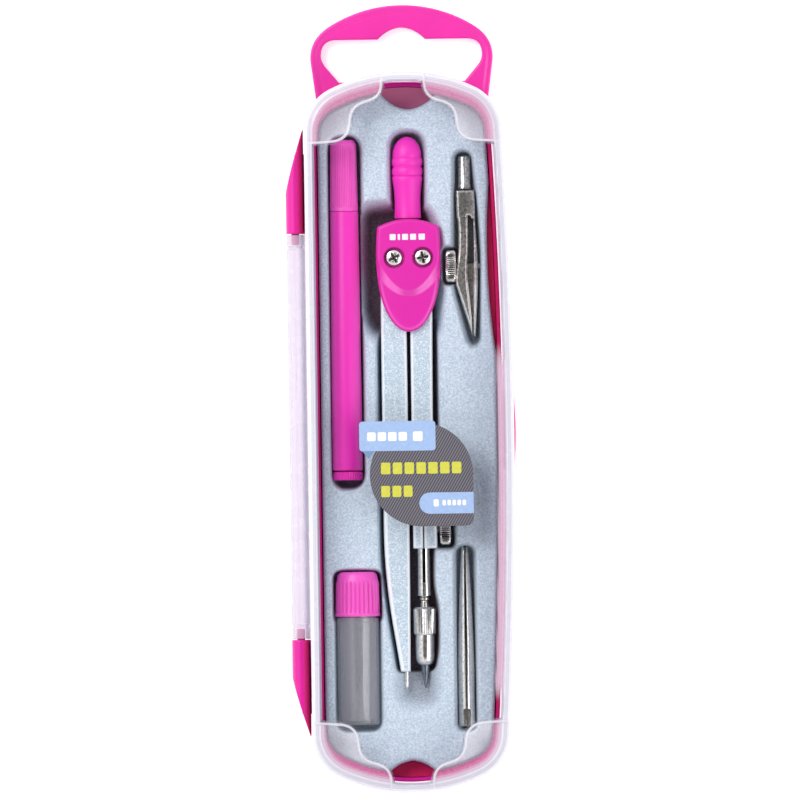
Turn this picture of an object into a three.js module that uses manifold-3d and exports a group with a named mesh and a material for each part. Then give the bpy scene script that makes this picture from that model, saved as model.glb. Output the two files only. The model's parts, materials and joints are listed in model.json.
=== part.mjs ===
// A drafting instrument case: a moulded base with a hanging loop, a clear hinged lid, a formed
// insert tray, and the instruments that lie in it. Millimetres, +X across the case towards the
// latch, +Y along it towards the loop, +Z up from the face the case rests on.

import * as THREE from 'three';
import { mergeVertices } from 'three/addons/utils/BufferGeometryUtils.js';
import Module from 'manifold-3d';

const wasm = await Module();
wasm.setup();

// ---------------------------------------------------------------- driving dimensions

const gap = 0.3; // clearance between neighbouring pieces
const turned = 20; // sides of a turned piece

const lidSize = { left: -23.6, right: 27.9, end: 89.98, crown: 42, corner: 12, bulge: 1365 };
const lidCentre = { x: 1.3, y: -8.37 };
const lidWall = 1.6;
const lidSkirtZ = 9; // underside of the lid's skirt
const lidTopZ = 21;
const lidEdge = 3; // rounding of the lid's top edge
const panelStep = 0.4; // the corner panels lie this far below the lid's centre panel

const baseInset = { left: 2.1, right: 2.8, end: 2.7 };
const baseWall = 1;
const baseFloor = 1.6;
const baseRimZ = 11.4;

const hinge = { x: -26.05, z: 11, radius: 2.25, pin: 1, low: -59.6, high: 41.2 };
const latch = { low: -15.7, high: -0.8, lip: 28.3 };

const loop = { x: 1.1, top: 98.35, crown: 34, plate: 2.2, rim: 3, rimWidth: 1.4 };

const trayTopZ = 12;
const traySheet = 0.7;
const trayFootZ = 1.9;

const bedZ = 8.7; // height of the instruments' axes
const pivot = { x: 2.1, y: 35.2, half: 3.575 };
const legZ = [5.7, 11.7];
const headZ = [3.2, 14.2];
const holderX = 4.9; // axis of the lead holder
const penX = 16.3; // axis of the ruling pen's shank
const handleX = -13.8; // axis of the loose handle tube
const containerX = -11.8; // axis of the spare lead container
const sleeveX = 15.1; // axis of the rolled sleeve

// ---------------------------------------------------------------- materials

function finish(color, roughness, metalness = 0) {
  return new THREE.MeshStandardMaterial({ color, roughness, metalness });
}

const magenta = finish(0xe6199b, 0.35);
const pink = finish(0xe433a6, 0.3);
const clear = new THREE.MeshStandardMaterial({
  color: 0xf2eef6, roughness: 0.1, transparent: true, opacity: 0.3,
});
const flock = finish(0xaab9c8, 0.95);
const silver = finish(0xb9c2c9, 0.45, 0.6);
const nickel = finish(0xc9c5be, 0.2, 1);
const steel = finish(0x9fa3a6, 0.3, 1);
const graphite = finish(0x3b3d42, 0.5, 0.2);
const labelFilm = finish(0x5d5a66, 0.5);

// ---------------------------------------------------------------- solid helpers

function solid(geometry) {
  const bare = geometry.index ? geometry.toNonIndexed() : geometry.clone();
  bare.deleteAttribute('normal');
  bare.deleteAttribute('uv');
  const merged = mergeVertices(bare, 1e-4);
  return new wasm.Manifold(new wasm.Mesh({
    numProp: 3,
    vertProperties: new Float32Array(merged.attributes.position.array),
    triVerts: new Uint32Array(merged.index.array),
  }));
}

function joined(geometries) {
  return geometries.map(solid).reduce((whole, next) => whole.add(next));
}

function geometryOf(manifold) {
  const mesh = manifold.getMesh();
  const geometry = new THREE.BufferGeometry();
  geometry.setAttribute('position', new THREE.BufferAttribute(new Float32Array(mesh.vertProperties), 3));
  geometry.setIndex(Array.from(mesh.triVerts));
  geometry.computeVertexNormals();
  return geometry;
}

// Joins the pieces of one list and cuts the pieces of another list from them.
function shaped(added, removed = []) {
  const body = joined(added);
  return geometryOf(removed.length ? body.subtract(joined(removed)) : body);
}

function prism(shape, low, high, curveSegments = 6) {
  const options = { depth: high - low, bevelEnabled: false, curveSegments };
  return new THREE.ExtrudeGeometry(shape, options).translate(0, 0, low);
}

// A prism whose upper edge is rounded; its lower edge lies well under low and is cut off there.
function domedPrism(outline, low, high, edge, curveSegments) {
  const spare = 2 * edge;
  const geometry = new THREE.ExtrudeGeometry(outline(edge), {
    depth: high - low + spare - 2 * edge,
    bevelSize: edge,
    bevelThickness: edge,
    bevelSegments: 3,
    curveSegments,
  }).translate(0, 0, low - spare + edge);
  const above = solid(block([-200, 200], [-200, 200], [low, high + 1]));
  return geometryOf(solid(geometry).intersect(above));
}

function block([x0, x1], [y0, y1], [z0, z1]) {
  const geometry = new THREE.BoxGeometry(x1 - x0, y1 - y0, z1 - z0);
  return geometry.translate((x0 + x1) / 2, (y0 + y1) / 2, (z0 + z1) / 2);
}

// A piece turned about an axis along Y. The profile is a list of [radius, y].
function turnedAlongY(profile, x, z = bedZ, sides = turned) {
  const points = profile.map(([radius, y]) => new THREE.Vector2(radius, y));
  return new THREE.LatheGeometry(points, sides).translate(x, 0, z);
}

function rod(radius, low, high, x, z = bedZ, sides = turned) {
  return turnedAlongY([[0, low], [radius, low], [radius, high], [0, high]], x, z, sides);
}

// A cylinder along X from x0 to x1.
function crossRod(radius, [x0, x1], y, z = bedZ, sides = turned) {
  const geometry = new THREE.CylinderGeometry(radius, radius, x1 - x0, sides);
  return geometry.rotateZ(Math.PI / 2).translate((x0 + x1) / 2, y, z);
}

// A cylinder along Z from z0 to z1.
function post(radius, x, y, [z0, z1], sides = turned) {
  const geometry = new THREE.CylinderGeometry(radius, radius, z1 - z0, sides);
  return geometry.rotateX(Math.PI / 2).translate(x, y, (z0 + z1) / 2);
}

// A cross-section disc with even notches round its rim, for knurled and ribbed grips.
function notchedDisc(radius, depth, notches) {
  const shape = new THREE.Shape();
  for (let i = 0; i < 2 * notches; i += 1) {
    const angle = (i * Math.PI) / notches;
    const reach = i % 2 ? radius - depth : radius;
    const point = [reach * Math.cos(angle), reach * Math.sin(angle)];
    if (i) shape.lineTo(...point);
    else shape.moveTo(...point);
  }
  shape.closePath();
  return shape;
}

// An outline through corner points [x, y, fillet], each corner rounded by its fillet length.
function filleted(corners, shape = new THREE.Shape()) {
  const count = corners.length;
  corners.forEach(([x, y, fillet = 0], i) => {
    const [px, py] = corners[(i + count - 1) % count];
    const [nx, ny] = corners[(i + 1) % count];
    const before = fillet / Math.hypot(px - x, py - y);
    const after = fillet / Math.hypot(nx - x, ny - y);
    const start = [x + (px - x) * before, y + (py - y) * before];
    if (i) shape.lineTo(...start);
    else shape.moveTo(...start);
    if (fillet) shape.quadraticCurveTo(x, y, x + (nx - x) * after, y + (ny - y) * after);
  });
  shape.closePath();
  return shape;
}

function roundedRectangle([x0, x1], [y0, y1], fillet) {
  return filleted([[x0, y0, fillet], [x1, y0, fillet], [x1, y1, fillet], [x0, y1, fillet]]);
}

// ---------------------------------------------------------------- outlines

// The point at distance r1 from (x1, y1) and r2 from (x2, y2), on the side of larger x + y.
function meeting([x1, y1], r1, [x2, y2], r2) {
  const d = Math.hypot(x2 - x1, y2 - y1);
  const along = (r1 * r1 - r2 * r2 + d * d) / (2 * d);
  const off = Math.sqrt(r1 * r1 - along * along);
  const ux = (x2 - x1) / d;
  const uy = (y2 - y1) / d;
  const options = [1, -1].map((s) => [x1 + ux * along - s * uy * off, y1 + uy * along + s * ux * off]);
  return options.sort((a, b) => b[0] + b[1] - a[0] - a[1])[0];
}

// The case in plan: crowned ends, round corners, a straight hinge side and a bowed latch side.
function caseOutline(inset) {
  const e = typeof inset === 'number' ? { left: inset, right: inset, end: inset } : inset;
  const { x: cx, y: cy } = lidCentre;
  const left = lidSize.left + e.left;
  const crown = lidSize.crown - e.end;
  const corner = lidSize.corner - e.end;
  const side = lidSize.bulge - e.right;
  const crownY = lidSize.end - e.end - crown;
  const sideX = lidSize.right - e.right - side;
  const leftX = left + corner;
  const leftY = crownY + Math.sqrt((crown - corner) ** 2 - (cx - leftX) ** 2);
  const [rightX, rightY] = meeting([cx, crownY], crown - corner, [sideX, 0], side - corner);
  const sideAngle = Math.atan2(rightY, rightX - sideX);
  const rightAngle = Math.atan2(rightY - crownY, rightX - cx);
  const leftAngle = Math.atan2(leftY - crownY, leftX - cx);
  const shape = new THREE.Shape();
  shape.absarc(sideX, cy, side, -sideAngle, sideAngle, false);
  shape.absarc(rightX, cy + rightY, corner, sideAngle, rightAngle, false);
  shape.absarc(cx, cy + crownY, crown, rightAngle, leftAngle, false);
  shape.absarc(leftX, cy + leftY, corner, leftAngle, Math.PI, false);
  shape.absarc(leftX, cy - leftY, corner, Math.PI, 2 * Math.PI - leftAngle, false);
  shape.absarc(cx, cy - crownY, crown, -leftAngle, -rightAngle, false);
  shape.absarc(rightX, cy - rightY, corner, -rightAngle, -sideAngle, false);
  return shape;
}

// The loop's outer edge in plan, inset by a margin.
function loopOutline(inset) {
  const crown = loop.crown - inset;
  const crownY = loop.top - loop.crown;
  const shoulder = 18.2 - inset / 2;
  const shoulderY = crownY + Math.sqrt(crown ** 2 - shoulder ** 2);
  const angle = Math.atan2(shoulderY - crownY, shoulder);
  const shape = new THREE.Shape();
  shape.moveTo(loop.x + 20.9 - inset, 70);
  shape.lineTo(loop.x + 22.8 - inset, 84.8);
  shape.quadraticCurveTo(loop.x + 23 - inset, 90 - inset / 2, loop.x + shoulder, shoulderY);
  shape.absarc(loop.x, crownY, crown, angle, Math.PI - angle, false);
  shape.quadraticCurveTo(loop.x - 23 + inset, 90 - inset / 2, loop.x - 22.8 + inset, 84.8);
  shape.lineTo(loop.x - 20.9 + inset, 70);
  shape.closePath();
  return shape;
}

// The loop's opening, with the hump that hangs on a display peg.
function loopOpening() {
  const flatY = 89.8;
  const shape = new THREE.Shape();
  shape.moveTo(loop.x - 15.7, 79.2);
  shape.lineTo(loop.x + 15.7, 79.2);
  shape.lineTo(loop.x + 18.9, 83);
  shape.quadraticCurveTo(loop.x + 20.1, 84.4, loop.x + 20.1, 85.9);
  shape.quadraticCurveTo(loop.x + 20.1, flatY, loop.x + 16.2, flatY);
  shape.lineTo(loop.x + 5.9, flatY);
  shape.quadraticCurveTo(loop.x, 95.6, loop.x - 5.9, flatY);
  shape.lineTo(loop.x - 16.2, flatY);
  shape.quadraticCurveTo(loop.x - 20.1, flatY, loop.x - 20.1, 85.9);
  shape.quadraticCurveTo(loop.x - 20.1, 84.4, loop.x - 18.9, 83);
  shape.closePath();
  return shape;
}

// ---------------------------------------------------------------- base

// The hinge ear in plan: full width beside the knuckle, running out to nothing at its far end.
function earOutline(near, far) {
  const left = hinge.x - hinge.radius;
  const right = hinge.x + hinge.radius;
  const bend = near + (far - near) * 0.38;
  const shape = new THREE.Shape();
  shape.moveTo(left, near);
  shape.lineTo(left, bend);
  shape.quadraticCurveTo(left + 1.1, near + (far - near) * 0.6, right, far);
  shape.lineTo(right, near);
  shape.closePath();
  return shape;
}

function ear(near, far) {
  const span = [Math.min(near, far), Math.max(near, far)];
  const inner = lidSize.left + baseInset.left + baseWall / 2;
  const web = [hinge.x - hinge.radius, hinge.x + hinge.radius];
  const section = joined([
    rod(hinge.radius, ...span, hinge.x, hinge.z),
    block(web, span, [4.5, hinge.z]),
  ]);
  const arm = block([hinge.x, inner], [near, near + (far - near) * 0.75].sort((a, b) => a - b), [4.5, 8.5]);
  const pinSpan = [near, near - Math.sign(far - near) * 2.8].sort((a, b) => a - b);
  const outlined = section.intersect(solid(prism(earOutline(near, far), 0, 20)));
  return geometryOf(outlined
    .add(solid(arm))
    .add(solid(rod(hinge.pin, pinSpan[0] - 0.01, pinSpan[1] + 0.01, hinge.x, hinge.z))));
}

// The finger lip under the latch, a thin lens in plan.
function latchLip() {
  const middle = (latch.low + latch.high) / 2;
  const half = 9.6;
  const wallX = 24.6;
  const shape = new THREE.Shape();
  shape.moveTo(wallX, middle - half);
  shape.lineTo(27.4, middle - half);
  shape.quadraticCurveTo(2 * latch.lip - 27.4, middle, 27.4, middle + half);
  shape.lineTo(wallX, middle + half);
  shape.closePath();
  return prism(shape, 1.5, 4.2);
}

function caseBase() {
  const inner = {
    left: baseInset.left + baseWall,
    right: baseInset.right + baseWall,
    end: baseInset.end + baseWall,
  };
  const rimBand = solid(prism(loopOutline(0), 0, loop.rim))
    .subtract(solid(prism(loopOutline(loop.rimWidth), loop.plate, loop.rim + 1)))
    .subtract(solid(prism(loopOpening(), -1, loop.rim + 1)));
  const shell = solid(prism(caseOutline(baseInset), 0, baseRimZ, 3))
    .add(rimBand)
    .subtract(solid(prism(caseOutline(inner), baseFloor, baseRimZ + 1, 3)));
  const ribs = [
    block([0.3, 1.9], [73.6, 78.2], [baseFloor - 0.1, 6]),
    block([0.5, 2.1], [-94.9, -91.6], [baseFloor - 0.1, 6]),
    block([24.6, 26.15], [latch.low + 2.5, latch.high - 2.5], [6.4, 7.6]),
  ];
  return geometryOf(shell
    .add(solid(ear(hinge.high + gap, 68)))
    .add(solid(ear(hinge.low - gap, -84.5)))
    .add(solid(latchLip()))
    .add(joined(ribs)));
}

// ---------------------------------------------------------------- lid

// One corner panel in plan, in the quarter right of and above the lid's centre.
function cornerPanel(signX, signY) {
  const corners = [[5, 100], [5.6, 83.7, 3], [13, 81.4, 3.2], [13.8, 73, 4.2], [40, 72.1], [40, 100]];
  return filleted(corners.map(([x, y, fillet]) => [
    lidCentre.x + signX * x, lidCentre.y + signY * y, fillet,
  ]));
}

function lid() {
  const latchMiddle = [latch.low + 2.2, latch.high - 2.2];
  const shell = solid(domedPrism(caseOutline, lidSkirtZ, lidTopZ, lidEdge, 3))
    .subtract(solid(domedPrism(
      (edge) => caseOutline(lidWall + edge), lidSkirtZ - 1, lidTopZ - lidWall, lidEdge - lidWall, 3,
    )));
  const knuckle = shaped([
    rod(hinge.radius, hinge.low, hinge.high, hinge.x, hinge.z),
    block([hinge.x, lidSize.left + 0.8], [hinge.low, hinge.high], [hinge.z - 1.3, hinge.z + 1.3]),
  ], [
    rod(hinge.pin + gap, hinge.low - 1, hinge.low + 3.2, hinge.x, hinge.z),
    rod(hinge.pin + gap, hinge.high - 3.2, hinge.high + 1, hinge.x, hinge.z),
  ]);
  const tab = shaped([
    block([26.4, 27.7], [latch.low, latch.high], [5, lidSkirtZ + 1]),
  ], [
    block([26, 28], latchMiddle, [6, 8]),
  ]);
  const panels = [[1, 1], [-1, 1], [1, -1], [-1, -1]].map(([signX, signY]) => prism(
    cornerPanel(signX, signY), lidTopZ - panelStep, lidTopZ + 1, 3,
  ));
  return geometryOf(shell
    .subtract(joined(panels))
    .add(solid(knuckle))
    .add(solid(tab)));
}

// The film label on the lid: a banner over a round field with one squared corner.
function lidLabel() {
  const banner = roundedRectangle([-10.8, 8.2], [-13, -5.6], 1);
  const field = new THREE.Shape();
  field.moveTo(17.5, -19);
  field.absarc(4.6, -19, 12.9, 0, 1.5 * Math.PI, false);
  field.lineTo(15.5, -31.9);
  field.quadraticCurveTo(17.5, -31.9, 17.5, -29.9);
  field.closePath();
  const film = [lidTopZ, lidTopZ + 0.12];
  return shaped([prism(banner, ...film, 2), prism(field, ...film, 10)]);
}

// ---------------------------------------------------------------- insert tray

// The pockets of the tray, each a plan outline grown by a margin and a floor height.
const pockets = [
  {
    floor: 4.6,
    outline: (m) => roundedRectangle([-18.3 - m, -9.8 + m], [-22.6 - m, 66 + m], 4),
  },
  {
    floor: 4.6,
    outline: (m) => roundedRectangle([-1.7 - m, 7.4 + m], [40 - m, 67.7 + m], 4.4),
  },
  {
    floor: 2.8,
    outline: (m) => filleted([
      [-10 - m, 21.5 - m, 2], [-6.2 - m, 15 - m, 2], [10.2 + m, 15 - m, 2], [11.4 + m, 28 - m, 2],
      [11.4 + m, 43 + m, 4], [6 + m, 51.5 + m, 3], [-10 - m, 51.5 + m, 4],
    ]),
  },
  {
    floor: 5.2,
    outline: (m) => filleted([
      [-5.7 - m, 20, 0], [-5.7 - m, -44, 8], [-2 - m, -69, 4], [-2 - m, -79.3 - m, 2],
      [8.1 + m, -79.3 - m, 2], [8.6 + m, -50, 4], [9 + m, 20, 0],
    ]),
  },
  {
    floor: 4.2,
    outline: (m) => roundedRectangle([8 - m, 12.5 + m], [-37.3 - m, -28.1 + m], 1.2),
  },
  {
    floor: 5.6,
    outline: (m) => roundedRectangle([13.5 - m, 20.7 + m], [12.8 - m, 61.8 + m], 2.6),
  },
  {
    floor: 4.2,
    outline: (m) => roundedRectangle([10.8 - m, 15 + m], [28.2 - m, 37.6 + m], 1.2),
  },
  {
    floor: 2.75,
    outline: (m) => roundedRectangle([-17.8 - m, -5.8 + m], [-56 - m, -42.7 + m], 1.5),
  },
  {
    floor: 3.2,
    outline: (m) => roundedRectangle([-17.4 - m, -6.2 + m], [-83 - m, -50 + m], 2.6),
  },
  {
    floor: 6.2,
    outline: (m) => roundedRectangle([12.1 - m, 17.7 + m], [-83.4 - m, -36.2 + m], 2.6),
  },
];

const trayInset = { left: 3.4, right: 4.1, end: 4.8 };

// The shallow bay in the tray's right edge, beside the ruling pen.
const trayBay = { x: 221.8, y: 38, radius: 200, halfAngle: 0.12 };
const scallops = [
  { x: 2.4, y: 78.3, radius: 6 },
  { x: 1.4, y: -96.8, radius: 6.3 },
];

function bayOutline(margin) {
  const { x, y, radius, halfAngle } = trayBay;
  const shape = new THREE.Shape();
  shape.absarc(x, y, radius + margin, Math.PI - halfAngle, Math.PI + halfAngle, false);
  shape.lineTo(lidSize.right + 10, y - radius * halfAngle);
  shape.lineTo(lidSize.right + 10, y + radius * halfAngle);
  shape.closePath();
  return shape;
}

function trayBlock(margin, low, high) {
  const inset = {
    left: trayInset.left + margin,
    right: trayInset.right + margin,
    end: trayInset.end + margin,
  };
  const notches = scallops.map(({ x, y, radius }) => post(radius + margin, x, y, [low - 1, high + 1], 28));
  notches.push(prism(bayOutline(margin), low - 1, high + 1, 10));
  return solid(prism(caseOutline(inset), low, high, 3)).subtract(joined(notches));
}

function insertTray() {
  const cups = pockets.map(({ floor, outline }) => prism(
    outline(traySheet), floor - traySheet, trayTopZ - 0.1, 3,
  ));
  const hollows = pockets.map(({ floor, outline }) => prism(outline(0), floor, trayTopZ + 1, 3));
  return geometryOf(trayBlock(0, trayFootZ, trayTopZ)
    .subtract(trayBlock(traySheet, trayFootZ - 1, trayTopZ - traySheet))
    .add(joined(cups))
    .subtract(joined(hollows)));
}

// ---------------------------------------------------------------- compass

function compassGrip() {
  const bead = (middle, radius) => [
    [3.45, middle + 1.1], [radius, middle + 0.5], [radius, middle - 0.5], [3.45, middle - 1.1],
  ];
  const dome = [0, 0.25, 0.5, 0.75, 1].map((t) => [
    3.4 * Math.cos((t * Math.PI) / 2), 60.6 + 4.8 * Math.sin((t * Math.PI) / 2),
  ]).reverse();
  const profile = [
    ...dome,
    ...bead(59.1, 3.7),
    ...bead(56.7, 3.7),
    [3.6, 55.2], [3.45, 52], [3.15, 47.5], [3.1, 45.2], [2.1, 44.6], [2.1, 41.2], [0, 41.2],
  ];
  return turnedAlongY(profile.reverse(), pivot.x);
}

// The head cover in plan: arched above, drawn in to a rounded point below.
function headOutline(inset) {
  const half = 8.2 - inset;
  const shape = new THREE.Shape();
  shape.moveTo(pivot.x - half + 0.5, 42.9 - inset);
  shape.bezierCurveTo(
    pivot.x - half - 0.5, 33, pivot.x - half + 0.3, 23 + inset, pivot.x - 3.4, 18.2 + inset,
  );
  shape.quadraticCurveTo(pivot.x, 15.1 + inset, pivot.x + 3.4, 18.2 + inset);
  shape.bezierCurveTo(
    pivot.x + half - 0.3, 23 + inset, pivot.x + half + 0.5, 33, pivot.x + half - 0.5, 42.9 - inset,
  );
  shape.quadraticCurveTo(pivot.x, 46.9 - inset, pivot.x - half + 0.5, 42.9 - inset);
  return shape;
}

const pivotSides = [-1, 1];

function pivotPoint(side) {
  return [pivot.x + side * pivot.half, pivot.y];
}

// The front cover, hollow behind and open below the pivots where the legs come out.
function headCover(rear) {
  const plateZ = 12.1;
  const parts = domedPrism(headOutline, bedZ + gap / 2, headZ[1], 0.8, 5);
  const hollows = [
    prism(headOutline(1.3), bedZ - 1, plateZ, 5),
    block([-10, 14], [10, 30], [bedZ - 1, plateZ]),
    rod(2.4, 40, 48, pivot.x),
    ...pivotSides.map((side) => post(1.3, ...pivotPoint(side), [bedZ, 20])),
  ];
  if (rear) hollows.push(...pivotSides.map((side) => post(2.65, ...pivotPoint(side), [12.5, 20], 6)));
  else hollows.push(...pivotSides.map((side) => post(2.45, ...pivotPoint(side), [12.9, 20])));
  const cover = shaped([parts], hollows);
  return rear ? cover.rotateY(Math.PI).translate(2 * pivot.x, 0, 2 * bedZ) : cover;
}

// A cross-recessed pivot screw, from its head down to the nut behind.
function pivotScrew(side) {
  const [x, y] = pivotPoint(side);
  const cross = [
    block([x - 1.2, x + 1.2], [y - 0.25, y + 0.25], [13.3, 15]),
    block([x - 0.25, x + 0.25], [y - 1.2, y + 1.2], [13.3, 15]),
  ];
  return shaped([post(2.1, x, y, [13, 13.9]), post(1, x, y, [3.6, 13.1])], cross);
}

function pivotNut(side) {
  const [x, y] = pivotPoint(side);
  return shaped([post(2.3, x, y, [3.5, 4.8], 6)], [post(1.1, x, y, [3, 6])]);
}

function frictionWasher(side) {
  const [x, y] = pivotPoint(side);
  return shaped([post(2.3, x, y, [11.75, 12.05])], [post(1.25, x, y, [11, 13])]);
}

// The toothed hub at the top of a leg. The two hubs mesh, so that the legs open evenly.
function toothedHub(side) {
  const [x, y] = pivotPoint(side);
  const toothPitch = Math.PI / 5;
  const root = 2.75;
  const tip = 4;
  const shape = new THREE.Shape();
  shape.absarc(0, 0, root, 0, 2 * Math.PI, false);
  const teeth = [-1, 0, 1].map((step) => {
    const angle = (step + (side < 0 ? 0 : 0.5)) * toothPitch;
    const facing = side < 0 ? angle : Math.PI - angle;
    const tooth = filleted([[root - 0.5, -0.75], [tip, -0.2], [tip, 0.2], [root - 0.5, 0.75]]);
    return prism(tooth, ...legZ, 1).rotateZ(facing).translate(x, y, 0);
  });
  return [prism(shape, ...legZ, 10).translate(x, y, 0), ...teeth];
}

function leftLeg() {
  const outline = filleted([
    [-1.3, 33.5], [-4.6, 29.5, 1], [-5, 24, 3], [-5, -44, 12], [-1.2, -68.2, 0],
    [1.2, -68.2, 0], [1.4, -44, 6], [1.4, 29, 1], [0, 33],
  ]);
  const removed = [
    post(1.2, ...pivotPoint(-1), [0, 20]),
    rod(0.75, -70, -60, 0.2),
  ];
  return shaped([prism(outline, ...legZ, 4), ...toothedHub(-1)], removed);
}

function rightLeg() {
  const outline = filleted([
    [4.2, 33], [2.3, 29, 1], [2.3, -37.5, 0], [8.3, -37.5, 0.4], [8.3, -26, 4], [7.6, -8, 8],
    [7.9, 24, 4], [8, 29.5, 1], [6.5, 33.5],
  ]);
  const removed = [
    post(1.2, ...pivotPoint(1), [0, 20]),
    rod(1.9, -40, -22, holderX),
    block([holderX - 0.3, holderX + 0.3], [-40, -20], [bedZ, 20]),
    crossRod(1.25, [holderX, 10], -32.7),
  ];
  return shaped([prism(outline, ...legZ, 4), ...toothedHub(1)], removed);
}

function needlePoint() {
  return turnedAlongY([[0, -72.7], [0.6, -70.6], [0.6, -60.4], [0, -60.4]], 0.2, bedZ, 12);
}

// A knurled head with a plain shank, along X.
function knurledScrew(headSpan, headRadius, shankSpan, shankRadius, y) {
  const head = prism(notchedDisc(headRadius, 0.35, 22), 0, headSpan[1] - headSpan[0])
    .rotateY(Math.PI / 2)
    .translate(headSpan[0], y, bedZ);
  return shaped([head, crossRod(shankRadius, shankSpan, y)]);
}

// The stem that the leg clamps, its neck, and the collet that grips the lead.
function leadHolderStem() {
  const profile = [
    [0, -22.5], [0, -56], [1.25, -56], [1.25, -65.2], [1.7, -65.2], [1.9, -63.5], [1.9, -56.5],
    [1, -55], [1, -49.4], [1.6, -49.2], [1.6, -22.5],
  ];
  return turnedAlongY([...profile, profile[0]], holderX);
}

function leadChuckNut() {
  const knurl = prism(notchedDisc(2.85, 0.25, 20), 0, 7)
    .rotateX(Math.PI / 2)
    .translate(holderX, -52.1, bedZ);
  const sleeve = turnedAlongY([
    [0, -66.6], [1.7, -66.6], [2.2, -66], [2.4, -65], [2.4, -59], [0, -59],
  ], holderX);
  const bore = [
    rod(1.3, -54.1, -50, holderX),
    rod(2.15, -65.6, -54, holderX),
    rod(1.35, -68, -65, holderX),
  ];
  return shaped([knurl, sleeve], bore);
}

function graphiteLead() {
  return turnedAlongY([[0, -72.4], [0.15, -72.3], [1.05, -67.6], [1.05, -56.4], [0, -56.4]], holderX, bedZ, 14);
}

// ---------------------------------------------------------------- ruling pen

function penBody() {
  const shank = rod(1.5, 51, 60.4, penX);
  const grip = turnedAlongY([[0, 44.9], [2.25, 44.9], [2.35, 51], [1.6, 52.3], [0, 52.3]], penX + 0.3);
  return shaped([shank, grip], [block([16.3, 20], [40, 46.5], [0, 20])]);
}

// A blade in side view, with a hole for the adjusting screw.
function blade(corners, halfDepth) {
  const plate = prism(filleted(corners), bedZ - halfDepth, bedZ + halfDepth, 3);
  return shaped([plate], [crossRod(1.15, [10, 22], 32.9)]);
}

function fixedBlade() {
  return blade([
    [14.3, 44.6], [14.4, 36, 2], [14.3, 29.5, 2], [18.2, 14.7, 0], [18.5, 14.7, 0],
    [18.4, 18, 2], [15.3, 29.9, 2], [15.4, 36, 2], [16, 44.6],
  ], 2);
}

function springBlade() {
  return blade([
    [16.6, 46.2], [16.6, 44.8, 0.3], [18.5, 43, 2], [18.8, 30, 4], [18.8, 15, 0],
    [19.1, 14.7, 0], [19.8, 24, 6], [19.6, 40, 6], [18.6, 46.2],
  ], 2);
}

// ---------------------------------------------------------------- loose handle tube

function handleCap() {
  return shaped([turnedAlongY([
    [0, 47], [3.5, 47], [3.25, 63.8], [2.9, 64.6], [2.3, 64.8], [0, 64.8],
  ], handleX)], [rod(2.9, 40, 62, handleX)]);
}

function handleBarrel() {
  return shaped([
    turnedAlongY([[0, -17.8], [3.75, -17.8], [3.8, 0], [3.5, 46.8], [0, 46.8]], handleX),
    rod(2.6, 40, 57, handleX),
  ], [rod(1.9, -20, 60, handleX)]);
}

function handlePlug() {
  const flange = prism(notchedDisc(3.75, 0.15, 24), 0, 2.1)
    .rotateX(Math.PI / 2)
    .translate(handleX, -18.1, bedZ);
  return shaped([flange, rod(1.6, -18.2, -13, handleX)]);
}

// ---------------------------------------------------------------- spare lead container

function containerTube() {
  return shaped([
    rod(5.2, -81.3, -54.5, containerX),
    rod(4.5, -54.6, -45.5, containerX),
  ], [rod(4.4, -80.3, -55.5, containerX), rod(3.8, -55.6, -40, containerX)]);
}

function containerCap() {
  const ribbed = prism(notchedDisc(5.6, 0.3, 24), 0, 8)
    .rotateX(Math.PI / 2)
    .translate(containerX, -45.6, bedZ);
  const crownPart = turnedAlongY([
    [0, -45.7], [5.3, -45.7], [5.1, -44], [4.5, -43.1], [0, -43.1],
  ], containerX);
  const rim = rod(5.65, -54.2, -53.4, containerX);
  return shaped([ribbed, crownPart, rim], [rod(4.8, -60, -44.6, containerX)]);
}

const spareLeads = [
  { name: 'spare_lead_upper', x: 0.6, z: -0.2, span: [-64.6, -46] },
  { name: 'spare_lead_lower', x: 0.2, z: -2.6, span: [-79.6, -56] },
];

// ---------------------------------------------------------------- rolled sleeve

// Sheet metal rolled to a tapered tube, with a seam along its top and a mouth at its wide end.
function rolledSleeve() {
  const wall = 0.4;
  const outer = [[2.1, -82], [2.1, -66], [1.6, -50], [0.95, -39], [0.5, -37.3], [0, -37]];
  const bore = outer.slice(0, 4).map(([radius, y]) => [radius - wall, y]);
  return shaped([
    turnedAlongY([[0, -82], ...outer], sleeveX),
  ], [
    turnedAlongY([[0, -84], [2.1 - wall, -84], ...bore, [0, -38.6]], sleeveX),
    block([sleeveX - 0.15, sleeveX + 0.15], [-84, -40], [bedZ, 20]),
    block([sleeveX - 0.95, sleeveX + 0.95], [-84, -77.7], [bedZ, 20]),
  ]);
}

// ---------------------------------------------------------------- the whole case

const assembly = new THREE.Group();

function place(name, geometry, material) {
  const mesh = new THREE.Mesh(geometry, material);
  mesh.name = name;
  assembly.add(mesh);
}

place('case_base', caseBase(), magenta);
place('lid', lid(), clear);
place('lid_label', lidLabel(), labelFilm);
place('insert_tray', insertTray(), flock);

place('compass_grip', compassGrip(), pink);
place('compass_head_front', headCover(false), pink);
place('compass_head_back', headCover(true), pink);
pivotSides.forEach((side) => {
  const hand = side < 0 ? 'left' : 'right';
  place(`pivot_screw_${hand}`, pivotScrew(side), nickel);
  place(`pivot_nut_${hand}`, pivotNut(side), nickel);
  place(`friction_washer_${hand}`, frictionWasher(side), steel);
});
place('left_leg', leftLeg(), silver);
place('right_leg', rightLeg(), silver);
place('needle_point', needlePoint(), steel);
place('clamp_thumbscrew', knurledScrew([8.95, 11.8], 4, [6.7, 9.5], 1, -32.7), nickel);
place('lead_holder_stem', leadHolderStem(), nickel);
place('lead_chuck_nut', leadChuckNut(), nickel);
place('graphite_lead', graphiteLead(), graphite);

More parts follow.
